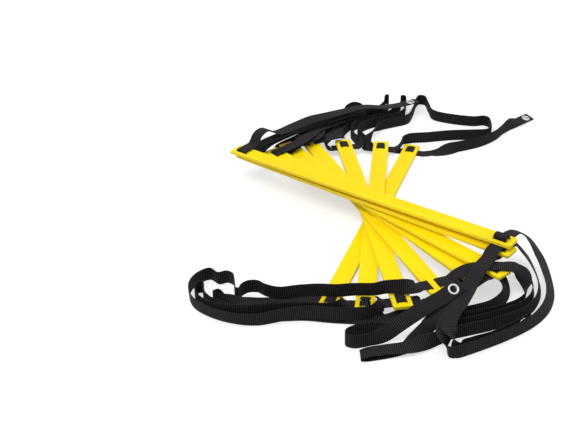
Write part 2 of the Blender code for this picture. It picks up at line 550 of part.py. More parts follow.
def eyelet_mesh():
    """Rolled rim in front, barrel, and the lip that is set behind the washer. The webbing is at height 0."""
    rim, roll = EYELET_FLANGE / 2, EYELET_RIM / 2
    return turned_mesh("eyelet", [
        (BORE, -BACK - LIP_THICKNESS), (BORE, FRONT + roll), (BORE + roll, FRONT + EYELET_RIM),
        (rim - EYELET_RIM, FRONT + EYELET_RIM), (rim, FRONT + roll), (rim, FRONT),
        (BARREL, FRONT), (BARREL, -BACK), (BARREL + LIP_WIDTH, -BACK), (BARREL + LIP_WIDTH, -BACK - LIP_THICKNESS),
    ])


def washer_mesh():
    hole, rim = BARREL + CLEARANCE, EYELET_FLANGE / 2
    return turned_mesh("washer", [
        (hole, -FRONT - WASHER_THICKNESS), (hole, -FRONT), (rim, -FRONT), (rim, -FRONT - WASHER_THICKNESS),
    ])


def place_on_tail(found, facing):
    """The frame of an eyelet near the end of a tail, with the side that faces its way in front."""
    left = EYELET_FROM_END
    place = len(found) - 1
    while left > 0:
        left -= (found[place][0] - found[place - 1][0]).length
        place -= 1
    middle, direction, across = found[place]
    front = direction.cross(across).normalized()
    if front.dot(facing) < 0:
        front = -front
    frame = Matrix((direction, front.cross(direction), front)).transposed().to_4x4()
    return Matrix.Translation(middle) @ frame


def build_slats(plastic, webbing):
    mesh = slat_mesh()
    mesh.materials.clear()
    for number in range(1, len(HEADINGS) + 1):
        axis = bpy.data.objects.new("rung_%d_axis" % number, None)
        axis.matrix_world = pivot(number)
        bpy.context.scene.collection.objects.link(axis)
        show("rung_%d" % number, mesh, plastic, axis, slat_middle(number))
        for end, word in ((NEAR, "near"), (FAR, "far")):
            thread = thread_mesh(end, number)
            show("%s_thread_%d" % (word, number), thread, webbing, axis, slots_middle(number, end))


def build_spans(webbing):
    for name, rows in SPANS.items():
        mesh = ribbon_mesh(name, thinned(sections(rows)))
        show(name, mesh, webbing, place=CROSSING)


def build_tails(webbing, steel):
    eyelet, washer = eyelet_mesh(), washer_mesh()
    for name, (rows, facing) in TAILS.items():
        found = sections(rows)
        tail = show(name, ribbon_mesh(name, thinned(found)), webbing, place=CROSSING)
        frame = place_on_tail(found, facing)
        punch = bpy.data.objects.new(name + "_punch", bpy.data.meshes.new("punch"))
        hole = bmesh.new()
        bmesh.ops.create_cone(
            hole, cap_ends=True, segments=EYELET_SIDES, depth=3 * WEB_THICKNESS,
            radius1=BARREL + CLEARANCE, radius2=BARREL + CLEARANCE,
        )
        hole.to_mesh(punch.data)
        hole.free()
        punch.matrix_world = frame
        punch.hide_render = True
        punch.display_type = "WIRE"
        bpy.context.scene.collection.objects.link(punch)
        cut = tail.modifiers.new("eyelet_hole", "BOOLEAN")
        cut.object = punch
        end = name.replace("tail", "eyelet")
        show(end, eyelet, steel).matrix_world = frame
        show(end + "_washer", washer, steel).matrix_world = frame


SPANS = {
    "near_span_1_2": full_route(NEAR_SPAN_1_2, port(NEAR, 1, LEFT), port(NEAR, 2, RIGHT)),
    "near_span_2_3": full_route(NEAR_SPAN_2_3, port(NEAR, 2, LEFT), port(NEAR, 3, RIGHT)),
    "near_span_3_4": full_route(NEAR_SPAN_3_4, port(NEAR, 3, LEFT), port(NEAR, 4, LEFT)),
    "near_span_4_5": full_route(NEAR_SPAN_4_5, port(NEAR, 4, RIGHT), port(NEAR, 5, RIGHT)),
    "near_span_5_6": full_route(NEAR_SPAN_5_6, port(NEAR, 5, LEFT), port(NEAR, 6, RIGHT)),
    "near_span_6_7": full_route(NEAR_SPAN_6_7, port(NEAR, 6, LEFT), port(NEAR, 7, RIGHT), LEAST_LEAD),
    "near_span_7_8": full_route(NEAR_SPAN_7_8, port(NEAR, 7, LEFT), port(NEAR, 8, RIGHT), TIGHT_LEAD),
    "far_span_1_2": full_route(FAR_SPAN_1_2, port(FAR, 1, LEFT), port(FAR, 2, RIGHT)),
    "far_span_2_3": full_route(FAR_SPAN_2_3, port(FAR, 2, LEFT), port(FAR, 3, RIGHT), SHORT_LEAD),
    "far_span_3_4": full_route(
        FAR_SPAN_3_4, port(FAR, 3, LEFT), port(FAR, 4, LEFT), last_lead=TIGHT_LEAD
    ),
    "far_span_4_5": full_route(
        FAR_SPAN_4_5, port(FAR, 4, RIGHT), port(FAR, 5, RIGHT), last_lead=TIGHT_LEAD
    ),
    "far_span_5_6": full_route(
        FAR_SPAN_5_6, port(FAR, 5, RIGHT, over=True), port(FAR, 6, RIGHT), last_lead=TIGHT_LEAD
    ),
    "far_span_6_7": full_route(
        FAR_SPAN_6_7, port(FAR, 6, RIGHT, over=True), port(FAR, 7, RIGHT), last_lead=TIGHT_LEAD
    ),
    "far_span_7_8": full_route(FAR_SPAN_7_8, port(FAR, 7, RIGHT, over=True), port(FAR, 8, RIGHT)),
}
TAILS = {
    "near_tail_1": (full_route(NEAR_TAIL_1, port(NEAR, 1, RIGHT)), Vector((0, 0, 1))),
    "near_tail_8": (full_route(NEAR_TAIL_8, port(NEAR, 8, LEFT)), Vector((0, -1, 0))),
    "far_tail_1": (full_route(FAR_TAIL_1, port(FAR, 1, RIGHT)), Vector((0, 0, 1))),
    "far_tail_8": (full_route(FAR_TAIL_8, port(FAR, 8, RIGHT, over=True)), Vector((0, 0, 1))),
}


def main():
    for thing in list(bpy.data.objects):
        bpy.data.objects.remove(thing)
    plastic = material("slat_plastic", (0.93, 0.70, 0.01), 0.42)
    webbing = material("black_webbing", (0.014, 0.0135, 0.015), 0.80)
    steel = material("eyelet_steel", (0.62, 0.62, 0.60), 0.35, 1.0)
    build_slats(plastic, webbing)
    build_spans(webbing)
    build_tails(webbing, steel)


main()
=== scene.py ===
"""Looks of a gathered agility ladder: moulded slats, ribbed webbing through their slots, and set eyelets.

Metres, +Z up, in the frame of the CAD part. The sizes and routes repeat the part's own.
"""
import math

import bmesh
import bpy
import numpy as np
from mathutils import Matrix, Vector


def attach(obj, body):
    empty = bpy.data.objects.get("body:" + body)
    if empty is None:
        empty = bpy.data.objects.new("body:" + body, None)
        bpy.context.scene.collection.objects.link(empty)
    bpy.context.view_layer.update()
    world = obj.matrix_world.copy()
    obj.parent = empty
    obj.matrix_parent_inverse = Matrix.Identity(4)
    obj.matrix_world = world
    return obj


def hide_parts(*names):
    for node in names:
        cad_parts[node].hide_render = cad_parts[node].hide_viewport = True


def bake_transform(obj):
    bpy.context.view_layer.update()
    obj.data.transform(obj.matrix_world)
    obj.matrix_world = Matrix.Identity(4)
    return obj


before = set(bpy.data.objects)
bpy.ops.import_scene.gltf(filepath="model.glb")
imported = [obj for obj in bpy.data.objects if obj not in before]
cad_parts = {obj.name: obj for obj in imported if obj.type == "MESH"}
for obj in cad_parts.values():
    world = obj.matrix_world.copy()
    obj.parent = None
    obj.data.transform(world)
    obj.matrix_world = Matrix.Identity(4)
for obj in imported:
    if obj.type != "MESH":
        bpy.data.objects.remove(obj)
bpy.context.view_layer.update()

# Webbing
WEB_WIDTH = 0.020
WEB_THICKNESS = 0.0012
CLEARANCE = 0.0003

# Slats. Each slot lets the webbing through with some play beside its edges and over its faces
RUNG_LENGTH = 0.5
RUNG_WIDTH = 0.026
RUNG_THICKNESS = 0.005
RUNG_CORNER = 0.003
RUNG_CORNER_STEPS = 8
RUNG_RIM = 0.0008
RUNG_RIM_STEPS = 4
SLOT_SIDE_PLAY = 0.001
SLOT_FACE_PLAY = 0.0006
SLOT_LENGTH = WEB_WIDTH + 2 * SLOT_SIDE_PLAY
SLOT_WIDTH = WEB_THICKNESS + 2 * (CLEARANCE + SLOT_FACE_PLAY)
SLOT_FROM_END = 0.019
SLOT_CORNER = SLOT_WIDTH / 3
SLOT_CORNER_STEPS = 5
SLOT_RIM = 0.00025
SLOT_RIM_STEPS = 2
# Edges that bend by more than this, in degrees, get the slots' soft rim
SLOT_RIM_BEND = 60
# A slot's cutter is this tall
CUTTER_HEIGHT = 3 * RUNG_THICKNESS
BRIDGE_WIDTH = 0.0085

# How the webbing is threaded, and its ribs, which run across its width
THREAD_OVERRUN = 0.002
THREAD_REACH = RUNG_WIDTH / 2 + THREAD_OVERRUN
THREAD_BEND = 0.0012
THREAD_BEND_STEPS = 8
RIB_PITCH = 0.0027
RIB_STEPS = 6
# How much of the webbing's thickness the grooves between its ribs take away
GROOVE_SHARE = 0.5
CURVE_STEP = 0.0005
# Two widths further apart than this cosine are the same width, read from its other edge
FLIPPED = -0.2
# One face of the webbing's outline: shares of half its width and of half its thickness
EDGE_SHARES = (
    (-1, 0), (-0.985, 0.62), (-0.93, 0.92), (-0.5, 1), (0, 1), (0.5, 1), (0.93, 0.92), (0.985, 0.62),
)

# Eyelets
EYELET_BORE = 0.009
EYELET_WALL = 0.0006
EYELET_FLANGE = 0.015
EYELET_RIM = 0.0008
WASHER_THICKNESS = 0.0006
LIP_THICKNESS = 0.0004
LIP_WIDTH = 0.0012
EYELET_FROM_END = 0.014
EYELET_SIDES = 48
# The looks' pieces lie closer to each other than the part's solids
SNUG = CLEARANCE / 3
BORE = EYELET_BORE / 2
BARREL = BORE + EYELET_WALL
FRONT = WEB_THICKNESS / 2 + SNUG
BACK = FRONT + WASHER_THICKNESS + SNUG
WASHER_RIM = WASHER_THICKNESS / 3
# The punched hole's cutter is this long
PUNCH_LENGTH = 3 * WEB_THICKNESS
# Where a turned face bends by more than this, in degrees, it stays sharp
SHARP_BEND = 40

# A strap leaves its slat straight for this far
LEAD = 0.007
SHORT_LEAD = 0.003
TIGHT_LEAD = 0.002
LEAST_LEAD = 0.001
LEAD_SHARES = (0, 0.5, 1)

# The stack: where the slats cross, each slat's heading in degrees, and how far its middle is from there
CROSSING = Vector((0.015, -0.009, 0))
HEADINGS = (-106, -94, -80.5, -67.5, -56, -47.8, -37.5, -35.5)
ALONG_SHARES = (-0.032, -0.018, -0.015, -0.04, -0.02, 0.014, -0.023, -0.03)
ASIDE_SHARES = (0.058, 0.096, -0.154, -0.154, 0.154, -0.077, -0.154, -0.173)
# Between a slat and the one beneath it, besides one clearance: thicknesses of webbing and clearances
LAYERS_BELOW = {6: (1, 2), 7: (1, 1), 8: (3, 4)}
NEAR, FAR = 1, -1
LEFT, RIGHT = -1, 1
WORDS = {NEAR: "near", FAR: "far"}
# How each slat is threaded: most straps pass under the margins and over the bridge between the slots. Where
# the slats lie close together at the far side, the strap comes up through one slot and turns back over its slat
UPSIDE_DOWN = [(NEAR, 4), (FAR, 4)]
TURNED_BACK = [(FAR, 5), (FAR, 6), (FAR, 7), (FAR, 8)]
# How far the webbing stands proud of the bridge where it was pulled through loosely
PROUD = {(NEAR, 8): 0.005}

# The camera stands in front of the near ends and looks down at the stack
CAMERA_PLACE = (-0.016, -1.2637, 0.7389)
CAMERA_PITCH = math.radians(30.12)
CAMERA_LENS = 60.5
CAMERA_SHIFT = -0.109

# The studio: a floor that glows for the camera and for reflections, two soft lamps and an even sky
FLOOR_LEVEL = -0.0003
FLOOR_SIZE = 12.0
FLOOR_GREY = (0.50, 0.50, 0.50, 1)
FLOOR_GLOW = (0.60, 0.60, 0.60, 1)
SKY_COLOUR = (1, 1, 1, 1)
# How strongly the sky lights. The camera and reflections see it at 1
SKY_STRENGTH = 0.62
# Each lamp's name, place, side and power in watts
LAMPS = (
    ("key", (-0.9, -0.7, 2.3), 1.6, 30.0),
    ("fill", (1.6, 0.5, 1.8), 1.4, 10.0),
)

# Colours of the moulded slats
SLAT_YELLOW = (0.93, 0.665, 0.002)
SLAT_FLOW = (0.98, 0.765, 0.003)
SLAT_CLOUD = (0.985, 0.81, 0.012)
SLAT_SCUFF = (0.99, 0.87, 0.16)
SLAT_SCRATCH = (0.72, 0.50, 0.02)
SLAT_SPECK = (0.30, 0.22, 0.05)
# How far in from the long edges and from the ends the scuffs reach
SIDE_SCUFF = 2.2 * RUNG_RIM
TIP_SCUFF = 3 * RUNG_RIM
GRAIN_DEPTH = 0.00004
SCRATCH_DEPTH = 0.00005

# Colours of the webbing
# Painted shade, for the low parts between the rib crests
WEB_PAINTED_SHADE = (0.0008, 0.0008, 0.0010)
# The ribs' black with painted light on their crests and raised floats of yarn
WEB_RIB_LIT = (0.0420, 0.0390, 0.0430)
WEB_FADED = (0.036, 0.034, 0.037)
# Painted shade that darkens the grooves between the ribs
WEB_GROOVE_SHADE = (0.0006, 0.0006, 0.0008)
WEB_LINT = (0.22, 0.21, 0.21)
WEB_SHEEN = (0.80, 0.74, 0.88, 1)
# Floats of yarn across the webbing's width
YARNS_ACROSS = 22.0
FLOAT_DEPTH = 0.00018
FIBRE_DEPTH = 0.00010

# Colours of the eyelets
STEEL_PALE = (0.72, 0.70, 0.67)
STEEL_BLOOM = (0.50, 0.49, 0.48)
# A darker colour that the steel takes in patches towards the bore
STEEL_DARK_NEAR_BORE = (0.20, 0.17, 0.13)
# Turned marks: radians of their wave for each metre of radius
TURNED_MARKS = 42000.0
TURNED_DEPTH = 0.00002
PITTED_DEPTH = 0.00003

# Routes of the free straps: x, y, z in metres, then the lean of the webbing in degrees (0 flat, 90 on edge,
# under 90 with the left edge high, over 90 with the right), then where it folds the heading of its width
NEAR_TAIL_1 = [
    (-0.009, -0.226, 0.0006, 0), (0.007, -0.235, 0.0006, 0), (0.019, -0.249, 0.0006, 0),
    (0.025, -0.266, 0.0009, 0), (0.027, -0.275, 0.0056, 20), (0.021, -0.282, 0.0092, 55),
    (0.01, -0.285, 0.0105, 82), (-0.007, -0.29, 0.0105, 90), (-0.022, -0.3, 0.0105, 90),
    (-0.023, -0.309, 0.0105, 90), (-0.013, -0.314, 0.0105, 90), (0.007, -0.309, 0.0105, 90),
    (0.025, -0.301, 0.0117, 70), (0.043, -0.29, 0.0192, 45), (0.075, -0.271, 0.0307, 36),
    (0.0986, -0.2533, 0.034, 33), (0.1064, -0.2475, 0.0365, 33), (0.125, -0.2335, 0.0423, 33),
]
NEAR_SPAN_1_2 = [
    (-0.085, -0.208, 0.0006, 0), (-0.125, -0.215, 0.0007, 0), (-0.15, -0.215, 0.001, 0),
    (-0.17, -0.213, 0.0019, 4), (-0.182, -0.212, 0.0072, 40), (-0.192, -0.213, 0.0105, 85),
    (-0.197, -0.218, 0.0105, 90), (-0.191, -0.224, 0.0105, 90), (-0.171, -0.227, 0.0085, 50),
    (-0.145, -0.229, 0.0041, 2), (-0.12, -0.234, 0.0027, 0), (-0.07, -0.247, 0.0023, 0),
    (-0.047, -0.252, 0.0023, 0), (-0.029, -0.249, 0.0027, 0), (-0.015, -0.241, 0.0037, 0),
    (0.001, -0.234, 0.0039, 0), (0.021, -0.2325, 0.0039, 0), (0.027, -0.2322, 0.0045, 0),
]
NEAR_SPAN_2_3 = [
    (-0.026, -0.234, 0.0121, 142), (-0.029, -0.246, 0.0167, 95), (-0.043, -0.252, 0.0157, 90),
    (-0.075, -0.249, 0.0142, 90), (-0.115, -0.25, 0.0142, 90), (-0.15, -0.256, 0.0152, 90),
    (-0.185, -0.25, 0.0137, 90), (-0.211, -0.231, 0.0105, 90), (-0.222, -0.209, 0.0105, 90),
    (-0.219, -0.195, 0.0105, 90), (-0.213, -0.195, 0.0105, 90), (-0.21, -0.214, 0.0105, 90),
    (-0.199, -0.231, 0.0105, 88), (-0.183, -0.242, 0.0083, 50), (-0.163, -0.249, 0.0019, 4),
    (-0.135, -0.25, 0.0006, 0), (-0.075, -0.247, 0.0006, 0), (-0.04, -0.252, 0.0006, 0),
    (-0.015, -0.255, 0.0011, 0), (0.001, -0.257, 0.0021, 0), (0.029, -0.255, 0.0024, 0),
    (0.05, -0.244, 0.0033, 0), (0.067, -0.231, 0.0052, 0), (0.074, -0.2295, 0.0081, 0),
]
NEAR_SPAN_3_4 = [
    (0.022, -0.2355, 0.0152, 155), (0.019, -0.247, 0.0172, 98), (0.009, -0.258, 0.0162, 90),
    (-0.01, -0.263, 0.0162, 90), (-0.04, -0.262, 0.0157, 90), (-0.07, -0.258, 0.015, 90),
    (-0.1, -0.26, 0.0127, 90), (-0.135, -0.268, 0.0105, 85), (-0.167, -0.265, 0.0105, 80),
    (-0.201, -0.249, 0.0105, 80), (-0.223, -0.227, 0.0105, 85), (-0.231, -0.197, 0.0105, 90),
    (-0.223, -0.174, 0.0105, 90), (-0.208, -0.163, 0.0105, 90), (-0.195, -0.174, 0.0107, 90),
    (-0.184, -0.172, 0.0117, 90), (-0.175, -0.179, 0.0127, 90), (-0.171, -0.195, 0.0133, 90),
    (-0.168, -0.214, 0.0139, 90), (-0.164, -0.216, 0.0139, 90), (-0.161, -0.206, 0.0133, 90),
    (-0.153, -0.197, 0.0127, 90), (-0.141, -0.196, 0.0125, 90), (-0.129, -0.205, 0.0125, 90),
    (-0.11, -0.212, 0.0127, 90), (-0.085, -0.211, 0.0152, 90), (-0.057, -0.215, 0.0197, 90),
    (-0.035, -0.218, 0.0207, 90), (-0.013, -0.221, 0.0245, 90), (0.015, -0.222, 0.0257, 90),
    (0.027, -0.222, 0.0287, 85), (0.045, -0.222, 0.0297, 75), (0.057, -0.22, 0.0282, 50),
    (0.068, -0.216, 0.0252, 25),
]
NEAR_SPAN_4_5 = [
    (0.121, -0.196, 0.0305, 5), (0.136, -0.19, 0.0347, 12), (0.151, -0.187, 0.0377, 4),
    (0.165, -0.185, 0.0377, 0), (0.186, -0.186, 0.0377, 0), (0.203, -0.188, 0.0347, 10),
    (0.213, -0.197, 0.0257, 50), (0.214, -0.211, 0.0137, 85), (0.206, -0.228, 0.0107, 90),
    (0.185, -0.245, 0.0107, 90), (0.16, -0.255, 0.0105, 90), (0.137, -0.261, 0.0105, 90),
    (0.125, -0.264, 0.0105, 90), (0.121, -0.259, 0.0105, 90), (0.127, -0.254, 0.0105, 90),
    (0.143, -0.249, 0.0105, 85), (0.165, -0.239, 0.0107, 80), (0.183, -0.221, 0.0127, 70),
    (0.188, -0.202, 0.0147, 50), (0.183, -0.183, 0.0192, 15), (0.172, -0.172, 0.0218, 0),
]
NEAR_SPAN_5_6 = [
    (0.119, -0.209, 0.0197, 20), (0.116, -0.222, 0.0137, 70), (0.107, -0.235, 0.0109, 85),
    (0.102, -0.254, 0.0105, 90), (0.106, -0.269, 0.0105, 90), (0.121, -0.277, 0.0105, 90),
    (0.145, -0.271, 0.0105, 90), (0.175, -0.258, 0.0105, 90), (0.203, -0.241, 0.0105, 90),
    (0.2205, -0.218, 0.0107, 85), (0.2245, -0.196, 0.0147, 75), (0.2175, -0.179, 0.0217, 50),
    (0.2055, -0.167, 0.0277, 15),
]
NEAR_SPAN_6_7 = [
    (0.157, -0.2015, 0.0307, 0), (0.139, -0.219, 0.0301, 0), (0.123, -0.235, 0.0272, 3),
    (0.107, -0.252, 0.0259, 0), (0.094, -0.269, 0.0225, 178), (0.085, -0.28, 0.0175, 165),
    (0.077, -0.289, 0.0127, 130), (0.065, -0.303, 0.0083, 140), (0.053, -0.314, 0.0035, 175),
    (0.039, -0.321, 0.0017, 180), (0.02, -0.326, 0.0007, 180), (0.001, -0.33, 0.0009, 0, 90),
    (-0.005, -0.3315, 0.0035, 0, 90), (0.001, -0.33, 0.0059, 0, 90), (0.025, -0.324, 0.0065, 0),
    (0.05, -0.321, 0.0072, 10), (0.073, -0.314, 0.0097, 50), (0.09, -0.307, 0.0105, 80),
    (0.107, -0.297, 0.0105, 90), (0.127, -0.29, 0.0105, 90), (0.165, -0.276, 0.0105, 90),
    (0.2035, -0.255, 0.0105, 90), (0.2235, -0.23, 0.0107, 85), (0.233, -0.201, 0.0127, 75),
    (0.2315, -0.167, 0.0177, 60), (0.222, -0.139, 0.0267, 40), (0.21, -0.123, 0.0337, 15),
]
NEAR_SPAN_7_8 = [
    (0.168, -0.17, 0.0397, 0), (0.161, -0.18, 0.0403, 0), (0.149, -0.199, 0.0381, 0),
    (0.139, -0.219, 0.0347, 0), (0.129, -0.239, 0.0315, 0), (0.119, -0.258, 0.0284, 0),
    (0.109, -0.275, 0.0266, 0), (0.101, -0.292, 0.0246, 0), (0.097, -0.306, 0.0232, 0),
    (0.0965, -0.318, 0.0205, 155), (0.0985, -0.328, 0.0145, 120), (0.105, -0.334, 0.0107, 95),
    (0.114, -0.333, 0.0105, 90), (0.13, -0.3255, 0.0105, 90), (0.155, -0.312, 0.0105, 90),
    (0.18, -0.297, 0.0105, 90), (0.214, -0.27, 0.0105, 82), (0.236, -0.239, 0.0102, 65),
    (0.247, -0.204, 0.0095, 52), (0.249, -0.166, 0.0105, 42), (0.2445, -0.13, 0.0177, 32),
    (0.232, -0.107, 0.0317, 24), (0.215, -0.106, 0.0427, 12),
]
NEAR_TAIL_8 = [
    (0.166, -0.175, 0.0427, 0), (0.152, -0.199, 0.0402, 0), (0.141, -0.219, 0.0366, 0),
    (0.132, -0.239, 0.0333, 0), (0.1225, -0.258, 0.03, 0), (0.1125, -0.275, 0.0284, 0),
    (0.1055, -0.291, 0.0267, 0), (0.103, -0.303, 0.0256, 0), (0.1045, -0.3125, 0.0243, 160),
    (0.1085, -0.3205, 0.018, 120), (0.114, -0.3235, 0.0114, 95), (0.1215, -0.3205, 0.0105, 90),
    (0.133, -0.3155, 0.0105, 90), (0.159, -0.304, 0.0105, 90), (0.184, -0.287, 0.0105, 90),
    (0.192, -0.2807, 0.0105, 90), (0.211, -0.266, 0.0105, 90),
]
FAR_TAIL_1 = [
    (0.121, 0.224, 0.0012, 0), (0.133, 0.223, 0.0037, 15), (0.148, 0.224, 0.0086, 50),
    (0.165, 0.229, 0.0105, 85), (0.205, 0.248, 0.0105, 90), (0.235, 0.274, 0.0105, 90),
    (0.253, 0.301, 0.0105, 88), (0.267, 0.321, 0.0101, 65), (0.28, 0.336, 0.0077, 30),
    (0.2883, 0.3446, 0.0056, 15), (0.2953, 0.3518, 0.0052, 15), (0.312, 0.369, 0.0043, 15),
]
FAR_SPAN_1_2 = [
    (0.045, 0.241, 0.0006, 0), (0.025, 0.248, 0.0006, 0), (0.013, 0.259, 0.0006, 0),
    (0.009, 0.276, 0.0009, 0), (0.017, 0.293, 0.0061, 145), (0.025, 0.304, 0.0087, 125),
    (0.035, 0.314, 0.0105, 95), (0.06, 0.329, 0.0105, 90), (0.085, 0.343, 0.0105, 90),
    (0.097, 0.376, 0.0105, 90), (0.105, 0.416, 0.0105, 90), (0.112, 0.431, 0.0105, 90),
    (0.121, 0.429, 0.0105, 90), (0.127, 0.396, 0.0105, 90), (0.133, 0.363, 0.0105, 90),
    (0.155, 0.348, 0.0105, 90), (0.205, 0.334, 0.0105, 90), (0.222, 0.337, 0.0105, 90),
    (0.23, 0.331, 0.0105, 90), (0.232, 0.309, 0.0105, 90), (0.23, 0.291, 0.0105, 90),
    (0.221, 0.281, 0.0105, 90), (0.195, 0.278, 0.0105, 90), (0.155, 0.275, 0.0105, 90),
    (0.115, 0.267, 0.0105, 90), (0.085, 0.262, 0.0107, 90), (0.071, 0.253, 0.0102, 75),
    (0.065, 0.239, 0.0082, 30),
]
FAR_SPAN_2_3 = [
    (0.01, 0.237, 0.0102, 135), (0.006, 0.253, 0.0132, 92), (-0.005, 0.281, 0.0122, 90),
    (0.003, 0.309, 0.0105, 90), (0.023, 0.327, 0.0105, 90), (0.055, 0.341, 0.0105, 90),
    (0.077, 0.363, 0.0105, 90), (0.085, 0.401, 0.0105, 90), (0.085, 0.429, 0.0105, 90),
    (0.079, 0.431, 0.0105, 90), (0.075, 0.401, 0.0105, 90), (0.065, 0.376, 0.0105, 90),
    (0.045, 0.353, 0.0105, 90), (0.015, 0.337, 0.0105, 90), (-0.009, 0.317, 0.0105, 90),
    (-0.017, 0.286, 0.0112, 90), (-0.009, 0.256, 0.0127, 90), (-0.003, 0.241, 0.0127, 60),
]
FAR_SPAN_3_4 = [
    (-0.057, 0.232, 0.0127, 50), (-0.06, 0.247, 0.0117, 88), (-0.051, 0.276, 0.0105, 90),
    (-0.029, 0.313, 0.0105, 90), (-0.01, 0.343, 0.0105, 90), (-0.004, 0.376, 0.0105, 90),
    (-0.01, 0.387, 0.0105, 90), (-0.017, 0.376, 0.0105, 90), (-0.025, 0.349, 0.0105, 90),
    (-0.047, 0.321, 0.0105, 90), (-0.079, 0.281, 0.0105, 90), (-0.101, 0.254, 0.0117, 90),
    (-0.109, 0.241, 0.0137, 90), (-0.1105, 0.231, 0.0177, 88), (-0.109, 0.224, 0.0222, 55),
    (-0.103, 0.218, 0.0237, 0),
]
FAR_SPAN_4_5 = [
    (-0.057, 0.232, 0.0255, 0), (-0.043, 0.242, 0.0257, 15), (-0.033, 0.258, 0.0217, 50),
    (-0.03, 0.275, 0.0147, 80), (-0.029, 0.291, 0.0109, 90), (-0.021, 0.311, 0.0105, 90),
    (0.003, 0.343, 0.0105, 90), (0.031, 0.363, 0.0105, 90), (0.049, 0.387, 0.0105, 90),
    (0.054, 0.419, 0.0105, 90), (0.053, 0.435, 0.0105, 90), (0.048, 0.431, 0.0105, 90),
    (0.044, 0.401, 0.0105, 90), (0.029, 0.377, 0.0105, 90), (0.011, 0.371, 0.0105, 90),
    (0.001, 0.393, 0.0105, 90), (-0.011, 0.399, 0.0105, 90), (-0.024, 0.386, 0.0105, 90),
    (-0.033, 0.355, 0.0105, 90), (-0.057, 0.325, 0.0105, 90), (-0.089, 0.283, 0.0105, 90),
    (-0.117, 0.249, 0.0105, 90), (-0.135, 0.229, 0.0105, 90), (-0.145, 0.213, 0.0105, 88),
    (-0.143, 0.199, 0.0105, 85), (-0.132, 0.192, 0.0107, 55), (-0.1165, 0.193, 0.0137, 10),
    (-0.105, 0.2008, 0.0169, 0), (-0.0995, 0.2045, 0.0193, 0),
]
FAR_SPAN_5_6 = [
    (-0.09, 0.211, 0.0312, 0), (-0.078, 0.223, 0.0312, 0), (-0.072, 0.237, 0.0302, 0),
    (-0.07, 0.249, 0.0257, 150), (-0.069, 0.261, 0.0177, 110), (-0.064, 0.274, 0.0122, 95),
    (-0.057, 0.287, 0.0106, 90), (-0.045, 0.303, 0.0105, 90), (-0.027, 0.331, 0.0105, 90),
    (-0.019, 0.347, 0.0105, 90), (-0.023, 0.347, 0.0105, 90), (-0.032, 0.331, 0.0105, 90),
    (-0.051, 0.307, 0.0105, 90), (-0.077, 0.272, 0.0114, 88), (-0.089, 0.257, 0.0142, 75),
    (-0.097, 0.243, 0.0257, 35), (-0.098, 0.229, 0.0329, 0), (-0.099, 0.212, 0.0347, 0),
    (-0.104, 0.195, 0.0347, 0), (-0.11, 0.18, 0.0342, 0), (-0.116, 0.173, 0.0328, 0),
]
FAR_SPAN_6_7 = [
    (-0.113, 0.178, 0.0379, 0), (-0.099, 0.194, 0.0385, 0), (-0.089, 0.216, 0.0367, 0),
    (-0.082, 0.238, 0.0329, 0), (-0.073, 0.261, 0.0295, 0), (-0.055, 0.286, 0.0251, 0),
    (-0.03, 0.313, 0.0235, 0), (-0.005, 0.332, 0.0237, 0, 126), (0.006, 0.3395, 0.0251, 0, 126),
    (-0.005, 0.332, 0.0265, 0, 126), (-0.03, 0.316, 0.0271, 0), (-0.061, 0.291, 0.0302, 0),
    (-0.089, 0.265, 0.035, 0), (-0.113, 0.235, 0.0375, 0), (-0.135, 0.205, 0.0393, 0),
    (-0.152, 0.181, 0.0407, 0), (-0.1635, 0.1605, 0.0393, 0),
]
FAR_SPAN_7_8 = [
    (-0.153, 0.171, 0.0447, 0), (-0.133, 0.199, 0.0425, 0), (-0.107, 0.231, 0.0403, 0),
    (-0.082, 0.263, 0.0373, 0), (-0.055, 0.29, 0.0329, 0), (-0.025, 0.317, 0.0301, 0),
    (-0.007, 0.329, 0.0301, 0, 128), (0.002, 0.3355, 0.0316, 0, 128), (-0.007, 0.329, 0.0331, 0, 128),
    (-0.027, 0.318, 0.0339, 0), (-0.057, 0.291, 0.0367, 0), (-0.083, 0.264, 0.0405, 0),
    (-0.109, 0.232, 0.0433, 0), (-0.135, 0.199, 0.0461, 0), (-0.156, 0.171, 0.0483, 0),
]
FAR_TAIL_8 = [
    (-0.1725, 0.1515, 0.0572, 0), (-0.1685, 0.157, 0.0652, 0), (-0.1615, 0.1665, 0.0697, 0),
    (-0.1535, 0.177, 0.0677, 0), (-0.1475, 0.185, 0.0602, 0), (-0.1415, 0.193, 0.0537, 0),
    (-0.131, 0.207, 0.0502, 4), (-0.111, 0.231, 0.0485, 12), (-0.083, 0.264, 0.0462, 16),
    (-0.055, 0.291, 0.0419, 10), (-0.025, 0.319, 0.0377, 3),
    (0.01, 0.341, 0.0357, 0), (0.045, 0.359, 0.0272, 0), (0.0754, 0.3762, 0.0245, 0),
    (0.0841, 0.3812, 0.0247, 0), (0.105, 0.393, 0.0253, 0),
]
